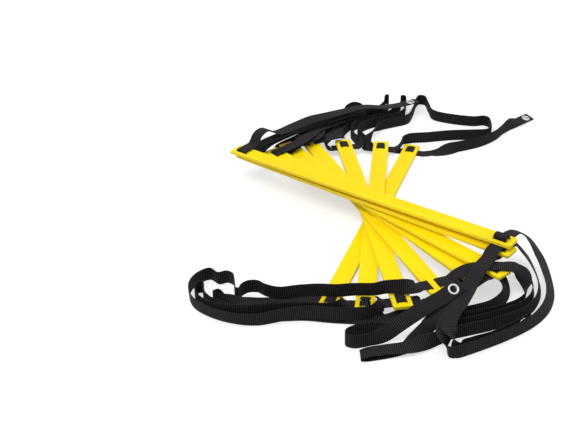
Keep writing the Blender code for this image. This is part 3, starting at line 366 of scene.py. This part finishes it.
# Each free stretch: its route, the side of each slat that it leaves and reaches, and its straight leads
SPANS = {
    NEAR: (
        (NEAR_SPAN_1_2, (LEFT,), (RIGHT,), LEAD, LEAD),
        (NEAR_SPAN_2_3, (LEFT,), (RIGHT,), LEAD, LEAD),
        (NEAR_SPAN_3_4, (LEFT,), (LEFT,), LEAD, LEAD),
        (NEAR_SPAN_4_5, (RIGHT,), (RIGHT,), LEAD, LEAD),
        (NEAR_SPAN_5_6, (LEFT,), (RIGHT,), LEAD, LEAD),
        (NEAR_SPAN_6_7, (LEFT,), (RIGHT,), LEAST_LEAD, LEAD),
        (NEAR_SPAN_7_8, (LEFT,), (RIGHT,), TIGHT_LEAD, LEAD),
    ),
    FAR: (
        (FAR_SPAN_1_2, (LEFT,), (RIGHT,), LEAD, LEAD),
        (FAR_SPAN_2_3, (LEFT,), (RIGHT,), SHORT_LEAD, LEAD),
        (FAR_SPAN_3_4, (LEFT,), (LEFT,), LEAD, TIGHT_LEAD),
        (FAR_SPAN_4_5, (RIGHT,), (RIGHT,), LEAD, TIGHT_LEAD),
        (FAR_SPAN_5_6, (RIGHT, True), (RIGHT,), LEAD, TIGHT_LEAD),
        (FAR_SPAN_6_7, (RIGHT, True), (RIGHT,), LEAD, TIGHT_LEAD),
        (FAR_SPAN_7_8, (RIGHT, True), (RIGHT,), LEAD, LEAD),
    ),
}
TAILS = (
    ("near", NEAR, 1, NEAR_TAIL_1, (RIGHT,), (0, 0, 1)),
    ("near", NEAR, 8, NEAR_TAIL_8, (LEFT,), (0, -1, 0)),
    ("far", FAR, 1, FAR_TAIL_1, (RIGHT,), (0, 0, 1)),
    ("far", FAR, 8, FAR_TAIL_8, (RIGHT, True), (0, 0, 1)),
)


def slat_levels():
    """The height of each slat's underside, by number."""
    levels = {1: WEB_THICKNESS + CLEARANCE}
    for number in range(2, len(HEADINGS) + 1):
        straps, gaps = LAYERS_BELOW.get(number, (0, 0))
        rise = RUNG_THICKNESS + CLEARANCE + straps * WEB_THICKNESS + gaps * CLEARANCE
        levels[number] = levels[number - 1] + rise
    return levels


LEVELS = slat_levels()
UNDER = -(CLEARANCE + WEB_THICKNESS / 2)
OVER = RUNG_THICKNESS - UNDER
OUTER = OVER + WEB_THICKNESS + CLEARANCE
TURN = BRIDGE_WIDTH / 2 + CLEARANCE + WEB_THICKNESS / 2


def pivot(number):
    """The turning axis of a slat: its place on the crossing and its heading."""
    turn = Matrix.Rotation(math.radians(HEADINGS[number - 1]), 4, "Z")
    return Matrix.Translation(CROSSING + Vector((0, 0, LEVELS[number]))) @ turn


def slat_middle(number):
    return Vector((ALONG_SHARES[number - 1] * RUNG_LENGTH, ASIDE_SHARES[number - 1] * RUNG_WIDTH, 0))


def slots_middle(number, end):
    return slat_middle(number) + Vector((end * (RUNG_LENGTH / 2 - SLOT_FROM_END), 0, 0))


def thread_path(end, number):
    """Middle line of the threaded webbing, across the slat and up from its underside."""
    if (end, number) in TURNED_BACK:
        return [(THREAD_REACH, UNDER), (-TURN, UNDER), (-TURN, OUTER), (THREAD_REACH, OUTER)]
    top = OVER + PROUD.get((end, number), 0)
    over_bridge = [(TURN, UNDER), (TURN, top), (-TURN, top), (-TURN, UNDER)]
    path = [(THREAD_REACH, UNDER), *over_bridge, (-THREAD_REACH, UNDER)]
    if (end, number) in UPSIDE_DOWN:
        return [(across, RUNG_THICKNESS - up) for across, up in path]
    return path


def port(end, number, side, over=False):
    """Where a free strap meets the threaded webbing of a slat, and the heading away from the slat."""
    level = UNDER
    if (end, number) in UPSIDE_DOWN:
        level = OVER
    if over:
        level = OUTER
    heading = pivot(number).to_3x3() @ Vector((0, side, 0))
    edge = Vector((0, side * THREAD_REACH, level))
    return pivot(number) @ (slots_middle(number, end) + edge), heading


def full_route(route, start=None, finish=None, lead=LEAD, last_lead=LEAD):
    """A route's rows with the straight leads at its ends."""
    rows = [tuple(row) for row in route]
    if start:
        point, heading = start
        rows = [(*(point + heading * lead * share), 0) for share in LEAD_SHARES] + rows
    if finish:
        point, heading = finish
        rows += [(*(point + heading * last_lead * share), 0) for share in LEAD_SHARES[::-1]]
    return rows


def smooth_curve(points):
    """Samples of a centripetal Catmull-Rom curve through the points, and each one's place among them."""
    ends = [2 * points[0] - points[1], 2 * points[-1] - points[-2]]
    knots = [ends[0]] + points + [ends[1]]
    samples, places = [], []
    for span in range(len(points) - 1):
        p0, p1, p2, p3 = knots[span:span + 4]
        t1 = math.sqrt((p1 - p0).length)
        t2 = t1 + math.sqrt((p2 - p1).length)
        t3 = t2 + math.sqrt((p3 - p2).length)
        count = max(2, round((p2 - p1).length / CURVE_STEP))
        for step in range(count + (span == len(points) - 2)):
            t = t1 + (t2 - t1) * step / count
            a1 = p0.lerp(p1, t / t1)
            a2 = p1.lerp(p2, (t - t1) / (t2 - t1))
            a3 = p2.lerp(p3, (t - t2) / (t3 - t2))
            b1 = a1.lerp(a2, t / t2)
            b2 = a2.lerp(a3, (t - t1) / (t3 - t1))
            samples.append(b1.lerp(b2, (t - t1) / (t2 - t1)))
            places.append(span + step / count)
    return samples, places


def directions(samples):
    found = []
    for place in range(len(samples)):
        before = samples[max(place - 1, 0)]
        after = samples[min(place + 1, len(samples) - 1)]
        found.append((after - before).normalized())
    return found


def width_at(row, along):
    """The direction of the webbing's width at a row of a route."""
    lean = math.radians(row[3])
    if len(row) > 4:
        fold = math.radians(row[4])
        level, up = Vector((math.cos(fold), math.sin(fold), 0)), Vector((0, 0, 1))
    else:
        level = Vector((-along.y, along.x, 0)).normalized()
        up = along.cross(level)
        if up.z < 0:
            up = -up
    return math.cos(lean) * level + math.sin(lean) * up


def sections(rows):
    """Sections of a free strap: middle, direction along and direction across."""
    samples, places = smooth_curve([Vector(row[:3]) for row in rows])
    along = directions(samples)
    widths = []
    place = 0
    for number, row in enumerate(rows):
        while places[place] < number:
            place += 1
        width = width_at(row, along[place])
        if widths and width.dot(widths[-1]) < FLIPPED:
            width = -width
        widths.append(width)
    found = []
    for middle, where, direction in zip(samples, places, along):
        first = min(int(where), len(rows) - 2)
        across = widths[first].lerp(widths[first + 1], where - first)
        across = (across - across.dot(direction) * direction).normalized()
        found.append((middle, direction, across))
    return found


def place_on_tail(found, facing):
    """The frame of an eyelet near the end of a tail, with the side that faces its way in front."""
    left = EYELET_FROM_END
    place = len(found) - 1
    while left > 0:
        left -= (found[place][0] - found[place - 1][0]).length
        place -= 1
    middle, direction, across = found[place]
    front = direction.cross(across).normalized()
    if front.dot(facing) < 0:
        front = -front
    axes = Matrix((direction, front.cross(direction), front)).transposed().to_4x4()
    return Matrix.Translation(middle) @ axes


class Surface:
    """A procedural material: its nodes are added and linked by name."""

    def __init__(self, name, **settings):
        self.material = bpy.data.materials.new(name)
        self.material.use_nodes = True
        self.tree = self.material.node_tree
        self.shader = self.tree.nodes["Principled BSDF"]
        for socket, value in settings.items():
            self.put(self.shader.inputs[socket.replace("_", " ")], value)

    def put(self, socket, value):
        if isinstance(value, bpy.types.NodeSocket):
            self.tree.links.new(value, socket)
        else:
            socket.default_value = value

    def math(self, operation, *values):
        node = self.tree.nodes.new("ShaderNodeMath")
        node.operation = operation
        for socket, value in zip(node.inputs, values):
            self.put(socket, value)
        return node.outputs[0]

    def coordinates(self, kind):
        return self.tree.nodes.new("ShaderNodeTexCoord").outputs[kind]

    def first_two(self, whole):
        """The first two parts of a vector."""
        node = self.tree.nodes.new("ShaderNodeSeparateXYZ")
        self.put(node.inputs[0], whole)
        return node.outputs[0], node.outputs[1]

    def stretched(self, whole, scale):
        node = self.tree.nodes.new("ShaderNodeMapping")
        self.put(node.inputs["Vector"], whole)
        node.inputs["Scale"].default_value = scale
        return node.outputs[0]

    def noise(self, whole, scale, detail=3.0, roughness=0.55):
        node = self.tree.nodes.new("ShaderNodeTexNoise")
        self.put(node.inputs["Vector"], whole)
        node.inputs["Scale"].default_value = scale
        node.inputs["Detail"].default_value = detail
        node.inputs["Roughness"].default_value = roughness
        return node.outputs["Fac"]

    def spread(self, value, low, high, to_low=0.0, to_high=1.0):
        """The value moved from one range to another, and kept within it."""
        node = self.tree.nodes.new("ShaderNodeMapRange")
        node.clamp = True
        for socket, entry in zip(node.inputs, (value, low, high, to_low, to_high)):
            self.put(socket, entry)
        return node.outputs[0]

    def mix(self, share, one, other):
        node = self.tree.nodes.new("ShaderNodeMix")
        node.data_type = "RGBA"
        self.put(node.inputs["Factor"], share)
        for socket, entry in ((node.inputs[6], one), (node.inputs[7], other)):
            self.put(socket, (*entry, 1) if isinstance(entry, tuple) else entry)
        return node.outputs[2]

    def bump(self, height, distance, strength, below=None):
        node = self.tree.nodes.new("ShaderNodeBump")
        node.inputs["Strength"].default_value = strength
        node.inputs["Distance"].default_value = distance
        self.put(node.inputs["Height"], height)
        if below:
            self.put(node.inputs["Normal"], below)
        return node.outputs[0]

    def finish(self, colour, roughness, normal):
        self.put(self.shader.inputs["Base Color"], colour)
        self.put(self.shader.inputs["Roughness"], roughness)
        self.put(self.shader.inputs["Normal"], normal)
        return self.material


def slat_plastic():
    """Moulded yellow plastic: faint flow marks, fine scratches along the slat, and scuffed paler rims."""
    made = Surface("moulded_yellow_plastic", Specular_IOR_Level=0.10, IOR=1.49)
    whole = made.coordinates("Object")
    along, across = made.first_two(whole)
    flow = made.noise(made.stretched(whole, (9, 60, 60)), 1.0, 4.0)
    colour = made.mix(made.spread(flow, 0.3, 0.7), SLAT_YELLOW, SLAT_FLOW)
    cloud = made.noise(whole, 34.0, 2.0)
    colour = made.mix(made.spread(cloud, 0.45, 0.8, 0.0, 0.35), colour, SLAT_CLOUD)
    side = made.math("ABSOLUTE", across)
    rim = made.spread(side, RUNG_WIDTH / 2 - SIDE_SCUFF, RUNG_WIDTH / 2)
    tip = made.spread(made.math("ABSOLUTE", along), RUNG_LENGTH / 2 - TIP_SCUFF, RUNG_LENGTH / 2)
    scuff = made.spread(made.noise(whole, 420.0, 4.0, 0.7), 0.44, 0.62)
    worn = made.math("MULTIPLY", made.math("MAXIMUM", rim, tip), scuff)
    colour = made.mix(made.math("MULTIPLY", worn, 0.5), colour, SLAT_SCUFF)
    scratches = made.noise(made.stretched(whole, (14, 1500, 900)), 1.0, 5.0, 0.75)
    scratch = made.spread(scratches, 0.66, 0.74)
    colour = made.mix(made.math("MULTIPLY", scratch, 0.22), colour, SLAT_SCRATCH)
    specks = made.spread(made.noise(whole, 620.0, 2.0), 0.74, 0.80)
    colour = made.mix(made.math("MULTIPLY", specks, 0.35), colour, SLAT_SPECK)
    grain = made.noise(whole, 1500.0, 2.0)
    normal = made.bump(grain, GRAIN_DEPTH, 0.25)
    normal = made.bump(scratches, SCRATCH_DEPTH, 0.15, normal)
    smooth = made.spread(cloud, 0.3, 0.7, 0.38, 0.50)
    roughness = made.math("ADD", smooth, made.math("MULTIPLY", worn, 0.18))
    return made.finish(colour, roughness, normal)


def woven_webbing():
    """Black polypropylene webbing: painted shade in the grooves between the ribs, painted light on the rib
    crests and on the float of yarn on each rib, faint lint.
    """
    made = Surface(
        "black_ribbed_webbing", Specular_IOR_Level=0.08, Sheen_Weight=0.05, Sheen_Roughness=0.45,
        Sheen_Tint=WEB_SHEEN,
    )
    place = made.coordinates("UV")
    ribs, yarns = made.first_two(place)
    whole = made.coordinates("Object")
    crest = made.math("ABSOLUTE", made.math("SINE", made.math("MULTIPLY", ribs, math.pi)))
    step = made.math("MULTIPLY", made.math("FLOOR", ribs), 0.5)
    row = made.math("ADD", made.math("MULTIPLY", yarns, YARNS_ACROSS), step)
    float_yarn = made.math("ABSOLUTE", made.math("SINE", made.math("MULTIPLY", row, math.pi)))
    # Painted light and shade: lighter on the rib crests and raised floats of yarn, darker between them, with
    # the fibres' own tone on top
    raised = made.spread(float_yarn, 0.0, 0.6, 0.65, 1.0)
    crest_light = made.math("MULTIPLY", made.spread(crest, 0.30, 0.98), raised)
    fibre = made.noise(made.stretched(place, (9, 60, 1)), 4.0, 5.0, 0.7)
    light_and_fibre = made.math("MULTIPLY", crest_light, made.spread(fibre, 0.3, 0.7, 0.7, 1.0))
    colour = made.mix(light_and_fibre, WEB_PAINTED_SHADE, WEB_RIB_LIT)
    faded = made.noise(whole, 26.0, 3.0)
    colour = made.mix(made.spread(faded, 0.45, 0.75, 0.0, 0.35), colour, WEB_FADED)
    # Painted shade deepens the grooves between the ribs
    colour = made.mix(made.spread(crest, 0.2, 0.85, 0.9, 0.0), colour, WEB_GROOVE_SHADE)
    lint = made.spread(made.noise(whole, 1300.0, 3.0, 0.6), 0.72, 0.78, 0.0, 0.16)
    colour = made.mix(lint, colour, WEB_LINT)
    normal = made.bump(float_yarn, FLOAT_DEPTH, 0.45)
    normal = made.bump(fibre, FIBRE_DEPTH, 0.35, normal)
    roughness = made.spread(fibre, 0.3, 0.7, 0.58, 0.78)
    return made.finish(colour, roughness, normal)


def eyelet_steel():
    """Nickel-plated steel: turned marks, a grey bloom, and a colour that darkens in patches towards the bore,
    in the corner by the barrel.
    """
    made = Surface("nickel_plated_steel", Metallic=1.0)
    whole = made.coordinates("Object")
    one, other = made.first_two(whole)
    squares = made.math("ADD", made.math("POWER", one, 2.0), made.math("POWER", other, 2.0))
    radius = made.math("SQRT", squares)
    bloom = made.noise(whole, 420.0, 4.0)
    colour = made.mix(made.spread(bloom, 0.35, 0.7), STEEL_PALE, STEEL_BLOOM)
    # Darker in patches towards the bore, in the corner by the barrel
    edge = made.spread(radius, BORE, BORE + 2 * EYELET_WALL, 0.5, 0.0)
    near_bore_darkening = made.math("MULTIPLY", edge, made.spread(bloom, 0.3, 0.6, 0.3, 1.0))
    colour = made.mix(near_bore_darkening, colour, STEEL_DARK_NEAR_BORE)
    rings = made.math("SINE", made.math("MULTIPLY", radius, TURNED_MARKS))
    normal = made.bump(rings, TURNED_DEPTH, 0.12)
    normal = made.bump(made.noise(whole, 2600.0, 3.0), PITTED_DEPTH, 0.12, normal)
    roughness = made.spread(bloom, 0.3, 0.7, 0.22, 0.42)
    return made.finish(colour, roughness, normal)


def floor_paint():
    """Pale floor that keeps the object's soft shadow and goes to white for the camera and for reflections."""
    made = bpy.data.materials.new("pale_floor")
    made.use_nodes = True
    tree = made.node_tree
    tree.nodes.clear()
    diffuse = tree.nodes.new("ShaderNodeBsdfDiffuse")
    diffuse.inputs["Color"].default_value = FLOOR_GREY
    glow = tree.nodes.new("ShaderNodeEmission")
    lift = tree.nodes.new("ShaderNodeAddShader")
    output = tree.nodes.new("ShaderNodeOutputMaterial")
    tree.links.new(seen_directly(tree), glow.inputs["Strength"])
    tree.links.new(diffuse.outputs[0], lift.inputs[0])
    tree.links.new(glow.outputs[0], lift.inputs[1])
    tree.links.new(lift.outputs[0], output.inputs["Surface"])
    glow.inputs["Color"].default_value = FLOOR_GLOW
    return made


def seen_directly(tree):
    """1 for what the camera sees straight, in a mirror or through glass, and 0 for what only lights."""
    rays = tree.nodes.new("ShaderNodeLightPath")
    total = rays.outputs["Is Camera Ray"]
    for kind in ("Is Glossy Ray", "Is Transmission Ray"):
        larger = tree.nodes.new("ShaderNodeMath")
        larger.operation = "MAXIMUM"
        tree.links.new(total, larger.inputs[0])
        tree.links.new(rays.outputs[kind], larger.inputs[1])
        total = larger.outputs[0]
    return total


def build_camera():
    camera = bpy.data.objects.new("camera", bpy.data.cameras.new("camera"))
    camera.location = CAMERA_PLACE
    camera.rotation_euler = (math.pi / 2 - CAMERA_PITCH, 0, 0)
    camera.data.lens = CAMERA_LENS
    camera.data.shift_x = CAMERA_SHIFT
    bpy.context.scene.collection.objects.link(camera)
    bpy.context.scene.camera = camera


def build_studio():
    """A pale floor, a large soft lamp above on the left, a weaker one on the right, and an even pale sky."""
    mesh = bpy.data.meshes.new("floor")
    half = FLOOR_SIZE / 2
    corners = [(-half, -half, 0), (half, -half, 0), (half, half, 0), (-half, half, 0)]
    mesh.from_pydata(corners, [], [(0, 1, 2, 3)])
    mesh.materials.append(floor_paint())
    floor = bpy.data.objects.new("floor", mesh)
    floor.location = (0, 0, FLOOR_LEVEL)
    bpy.context.scene.collection.objects.link(floor)
    for name, place, size, power in LAMPS:
        lamp = bpy.data.objects.new(name, bpy.data.lights.new(name, "AREA"))
        lamp.data.size = size
        lamp.data.energy = power
        lamp.location = place
        lamp.rotation_euler = (-Vector(place)).to_track_quat("-Z", "Y").to_euler()
        bpy.context.scene.collection.objects.link(lamp)
    world = bpy.data.worlds.new("sky")
    world.use_nodes = True
    bpy.context.scene.world = world
    tree = world.node_tree
    sky = tree.nodes["Background"]
    sky.inputs["Color"].default_value = SKY_COLOUR
    level = tree.nodes.new("ShaderNodeMapRange")
    level.inputs["To Min"].default_value = SKY_STRENGTH
    tree.links.new(seen_directly(tree), level.inputs["Value"])
    tree.links.new(level.outputs[0], sky.inputs["Strength"])


def show(name, mesh, surface, body, node, place=None):
    """Puts a finished mesh in the scene for a node of the part, riding on its body."""
    mesh.materials.clear()
    mesh.materials.append(surface)
    thing = bpy.data.objects.new(name, mesh)
    if place:
        thing.matrix_world = place
    bpy.context.scene.collection.objects.link(thing)
    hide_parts(node)
    if body:
        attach(thing, body)
    return thing


def applied(thing):
    """The mesh of an object with its modifiers applied. The object is removed."""
    view = bpy.context.evaluated_depsgraph_get()
    mesh = bpy.data.meshes.new_from_object(thing.evaluated_get(view))
    bpy.data.objects.remove(thing)
    return mesh


def blank_object(name, mesh):
    thing = bpy.data.objects.new(name, mesh)
    bpy.context.scene.collection.objects.link(thing)
    return thing


def rounded_box(length, width, height, corner, segments):
    """A plate whose upright corners are rounded, standing on z = 0, as a bmesh."""
    plate = bmesh.new()
    bmesh.ops.create_cube(plate, size=1)
    bmesh.ops.scale(plate, verts=plate.verts, vec=(length, width, height))
    bmesh.ops.translate(plate, verts=plate.verts, vec=(0, 0, height / 2))
    upright = [e for e in plate.edges if abs(e.verts[0].co.z - e.verts[1].co.z) > height / 2]
    bmesh.ops.bevel(plate, geom=upright, offset=corner, segments=segments, profile=0.5, affect="EDGES")
    return plate


def mesh_from(shape, name):
    """A mesh made from a bmesh, which is freed."""
    mesh = bpy.data.meshes.new(name)
    shape.to_mesh(mesh)
    shape.free()
    return mesh


def slot_cutter(end, side):
    """An object that cuts one slot of a slat."""
    shape = rounded_box(SLOT_LENGTH, SLOT_WIDTH, CUTTER_HEIGHT, SLOT_CORNER, SLOT_CORNER_STEPS)
    cutter = blank_object("slot", mesh_from(shape, "slot"))
    cutter.location = (
        end * (RUNG_LENGTH / 2 - SLOT_FROM_END),
        side * (BRIDGE_WIDTH + SLOT_WIDTH) / 2,
        -RUNG_THICKNESS,
    )
    return cutter


def slat_mesh():
    """A slat with soft rims and two slots near each end, middle at the origin, underside at z = 0."""
    plate = rounded_box(RUNG_LENGTH, RUNG_WIDTH, RUNG_THICKNESS, RUNG_CORNER, RUNG_CORNER_STEPS)
    rims = [e for e in plate.edges if abs(e.verts[0].co.z - e.verts[1].co.z) < RUNG_RIM]
    bmesh.ops.bevel(plate, geom=rims, offset=RUNG_RIM, segments=RUNG_RIM_STEPS, profile=0.5, affect="EDGES")
    slat = blank_object("slat", mesh_from(plate, "slat"))
    cutters = [slot_cutter(end, side) for end in (NEAR, FAR) for side in (LEFT, RIGHT)]
    for cutter in cutters:
        cut = slat.modifiers.new("slot", "BOOLEAN")
        cut.object = cutter
    soft = slat.modifiers.new("slot_rims", "BEVEL")
    soft.width = SLOT_RIM
    soft.segments = SLOT_RIM_STEPS
    soft.limit_method = "ANGLE"
    soft.angle_limit = math.radians(SLOT_RIM_BEND)
    mesh = applied(slat)
    for cutter in cutters:
        bpy.data.objects.remove(cutter)
    mesh.shade_smooth()
    even = blank_object("slat", mesh)
    even.modifiers.new("even_shading", "WEIGHTED_NORMAL")
    return applied(even)


def unit(rows):
    return rows / np.linalg.norm(rows, axis=1)[:, None]


def webbing_mesh(name, middles, widths):
    """Ribbed webbing along a line, with a whole number of ribs, and the centres of its rings."""
    middles, widths = np.array(middles, float), np.array(widths, float)
    run = np.concatenate([[0], np.cumsum(np.linalg.norm(np.diff(middles, axis=0), axis=1))])
    ribs = max(2, round(run[-1] / RIB_PITCH))
    where = np.linspace(0, run[-1], ribs * RIB_STEPS + 1)
    centre = np.column_stack([np.interp(where, run, column) for column in middles.T])
    across = np.column_stack([np.interp(where, run, column) for column in widths.T])
    along = unit(np.gradient(centre, axis=0))
    across = unit(across - np.sum(across * along, axis=1)[:, None] * along)
    face = np.cross(along, across)
    phase = np.arange(len(where)) / RIB_STEPS
    swell = 1 - GROOVE_SHARE * (1 - np.sqrt(np.abs(np.sin(np.pi * phase))))
    outline = np.array(list(EDGE_SHARES) + [(-side, -rise) for side, rise in EDGE_SHARES])
    sides, rises = outline[:, 0] * WEB_WIDTH / 2, outline[:, 1] * WEB_THICKNESS / 2
    points = (
        centre[:, None] + across[:, None] * sides[None, :, None]
        + face[:, None] * (swell[:, None] * rises[None, :])[:, :, None]
    )
    rings, corners = points.shape[:2]
    grid = np.arange(rings * corners).reshape(rings, corners)
    here, onward = grid[:-1], grid[1:]
    quads = np.stack([here, onward, np.roll(onward, -1, 1), np.roll(here, -1, 1)], axis=2).reshape(-1, 4)
    faces = quads.tolist() + [grid[0].tolist(), grid[-1][::-1].tolist()]
    mesh = bpy.data.meshes.new(name)
    mesh.from_pydata(points.reshape(-1, 3).tolist(), [], faces)
    marks = np.stack([np.repeat(phase, corners), np.tile((outline[:, 0] + 1) / 2, rings)], axis=1)
    loops = np.concatenate([quads.ravel(), grid[0], grid[-1][::-1]])
    uv = mesh.uv_layers.new(name="ribs_and_width")
    uv.data.foreach_set("uv", marks[loops].ravel().astype(np.float32))
    mesh.shade_smooth()
    return mesh, centre


def rounded_path(path):
    """The path with an arc in place of each square corner."""
    line = [Vector(p) for p in path]
    points = [line[0]]
    for before, corner, after in zip(line, line[1:], line[2:]):
        back, onward = (before - corner).normalized(), (after - corner).normalized()
        middle = corner + THREAD_BEND * (back + onward)
        for step in range(THREAD_BEND_STEPS + 1):
            turn = math.pi / 2 * step / THREAD_BEND_STEPS
            points.append(middle - THREAD_BEND * (onward * math.cos(turn) + back * math.sin(turn)))
    return points + [line[-1]]


def thread_mesh(end, number):
    """Webbing bent through the slots of a slat, across the slat at x = 0."""
    line = rounded_path(thread_path(end, number))
    middles = [(0, point.x, point.y) for point in line]
    return webbing_mesh("thread", middles, [(1, 0, 0)] * len(middles))[0]


def turned_mesh(name, profile):
    """A ring turned from a closed outline of radius and height."""
    rings = [
        [(r * math.cos(turn), r * math.sin(turn), z) for r, z in profile]
        for turn in (math.tau * step / EYELET_SIDES for step in range(EYELET_SIDES))
    ]
    count = len(profile)
    faces = []
    for step in range(EYELET_SIDES):
        here, onward = step * count, (step + 1) % EYELET_SIDES * count
        for corner in range(count):
            after = (corner + 1) % count
            faces.append((here + corner, here + after, onward + after, onward + corner))
    mesh = bpy.data.meshes.new(name)
    mesh.from_pydata([point for ring in rings for point in ring], [], faces)
    shape = bmesh.new()
    shape.from_mesh(mesh)
    bmesh.ops.recalc_face_normals(shape, faces=shape.faces)
    shape.to_mesh(mesh)
    shape.free()
    mesh.shade_smooth()
    mesh.set_sharp_from_angle(angle=math.radians(SHARP_BEND))
    return mesh


def bow(middle, radius, height, first, last, steps=6):
    """Points of an arc, as radius from the axis and height."""
    return [
        (middle + radius * math.cos(turn), height + radius * math.sin(turn))
        for turn in (math.radians(first + (last - first) * step / steps) for step in range(steps + 1))
    ]


def eyelet_mesh():
    """A rolled rim in front, its barrel, and the lip set behind the washer. The webbing is at height 0."""
    rim = EYELET_FLANGE / 2
    flare = BARREL + EYELET_RIM
    lip = LIP_THICKNESS / 2
    return turned_mesh("eyelet", [
        *bow(flare, flare - BORE, FRONT + EYELET_RIM - (flare - BORE), 180, 90),
        *bow(rim - EYELET_RIM, EYELET_RIM, FRONT, 90, 0),
        (BARREL, FRONT), (BARREL, -BACK),
        *bow(BARREL + LIP_WIDTH - lip, lip, -BACK - lip, 90, -90),
        (BORE, -BACK - LIP_THICKNESS),
    ])


def washer_mesh():
    hole, rim = BARREL + CLEARANCE, EYELET_FLANGE / 2
    soft = WASHER_RIM
    return turned_mesh("washer", [
        (hole, -FRONT), (rim - soft, -FRONT), (rim, -FRONT - soft), (rim, -FRONT - WASHER_THICKNESS + soft),
        (rim - soft, -FRONT - WASHER_THICKNESS), (hole, -FRONT - WASHER_THICKNESS),
    ])


def punched(name, mesh, place):
    """The mesh of a tail with the eyelet's hole through it."""
    tail = blank_object(name, mesh)
    hole = bmesh.new()
    bmesh.ops.create_cone(
        hole, cap_ends=True, segments=EYELET_SIDES, depth=PUNCH_LENGTH,
        radius1=BARREL + CLEARANCE, radius2=BARREL + CLEARANCE, matrix=place,
    )
    punch = blank_object("punch", mesh_from(hole, "punch"))
    cut = tail.modifiers.new("eyelet_hole", "BOOLEAN")
    cut.object = punch
    mesh = applied(tail)
    bpy.data.objects.remove(punch)
    return mesh


def build_spans(webbing):
    """The free stretches from each slat to the next."""
    for end, routes in SPANS.items():
        for number, (route, start, finish, lead, last_lead) in enumerate(routes, 1):
            first, last = port(end, number, *start), port(end, number + 1, *finish)
            found = sections(full_route(route, first, last, lead, last_lead))
            name = "%s_span_%d_%d" % (WORDS[end], number, number + 1)
            mesh, centre = webbing_mesh(name, [row[0] for row in found], [row[2] for row in found])
            strap = show("webbing_" + name, mesh, webbing, None, name)
            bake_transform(strap)


def build_tails(webbing, steel):
    """The free ends, each with an eyelet and the washer that it is set against."""
    rings, washers = eyelet_mesh(), washer_mesh()
    for word, end, number, route, start, facing in TAILS:
        body = "slat_%d" % number
        name = "%s_tail_%d" % (word, number)
        found = sections(full_route(route, port(end, number, *start)))
        mesh, centre = webbing_mesh(name, [row[0] for row in found], [row[2] for row in found])
        place = place_on_tail(found, Vector(facing))
        strap = show("webbing_" + name, punched(name, mesh, place), webbing, body, name)
        node = name.replace("tail", "eyelet")
        ring = show("ring_" + node, rings, steel, body, node, place)
        washer = show("ring_" + node + "_washer", washers, steel, body, node + "_washer", place)


def build_slats(plastic, webbing):
    """The slats, and the webbing that is threaded through each of them."""
    slat = slat_mesh()
    for number in range(1, len(HEADINGS) + 1):
        body = "slat_%d" % number
        place = pivot(number) @ Matrix.Translation(slat_middle(number))
        show("moulded_slat_%d" % number, slat, plastic, body, "rung_%d" % number, place)
        for end, word in WORDS.items():
            node = "%s_thread_%d" % (word, number)
            place = pivot(number) @ Matrix.Translation(slots_middle(number, end))
            show("webbing_" + node, thread_mesh(end, number), webbing, body, node, place)


def main():
    webbing = woven_webbing()
    build_camera()
    build_spans(webbing)
    build_tails(webbing, eyelet_steel())
    build_slats(slat_plastic(), webbing)
    build_studio()
    bpy.context.scene.view_settings.view_transform = "Standard"


main()
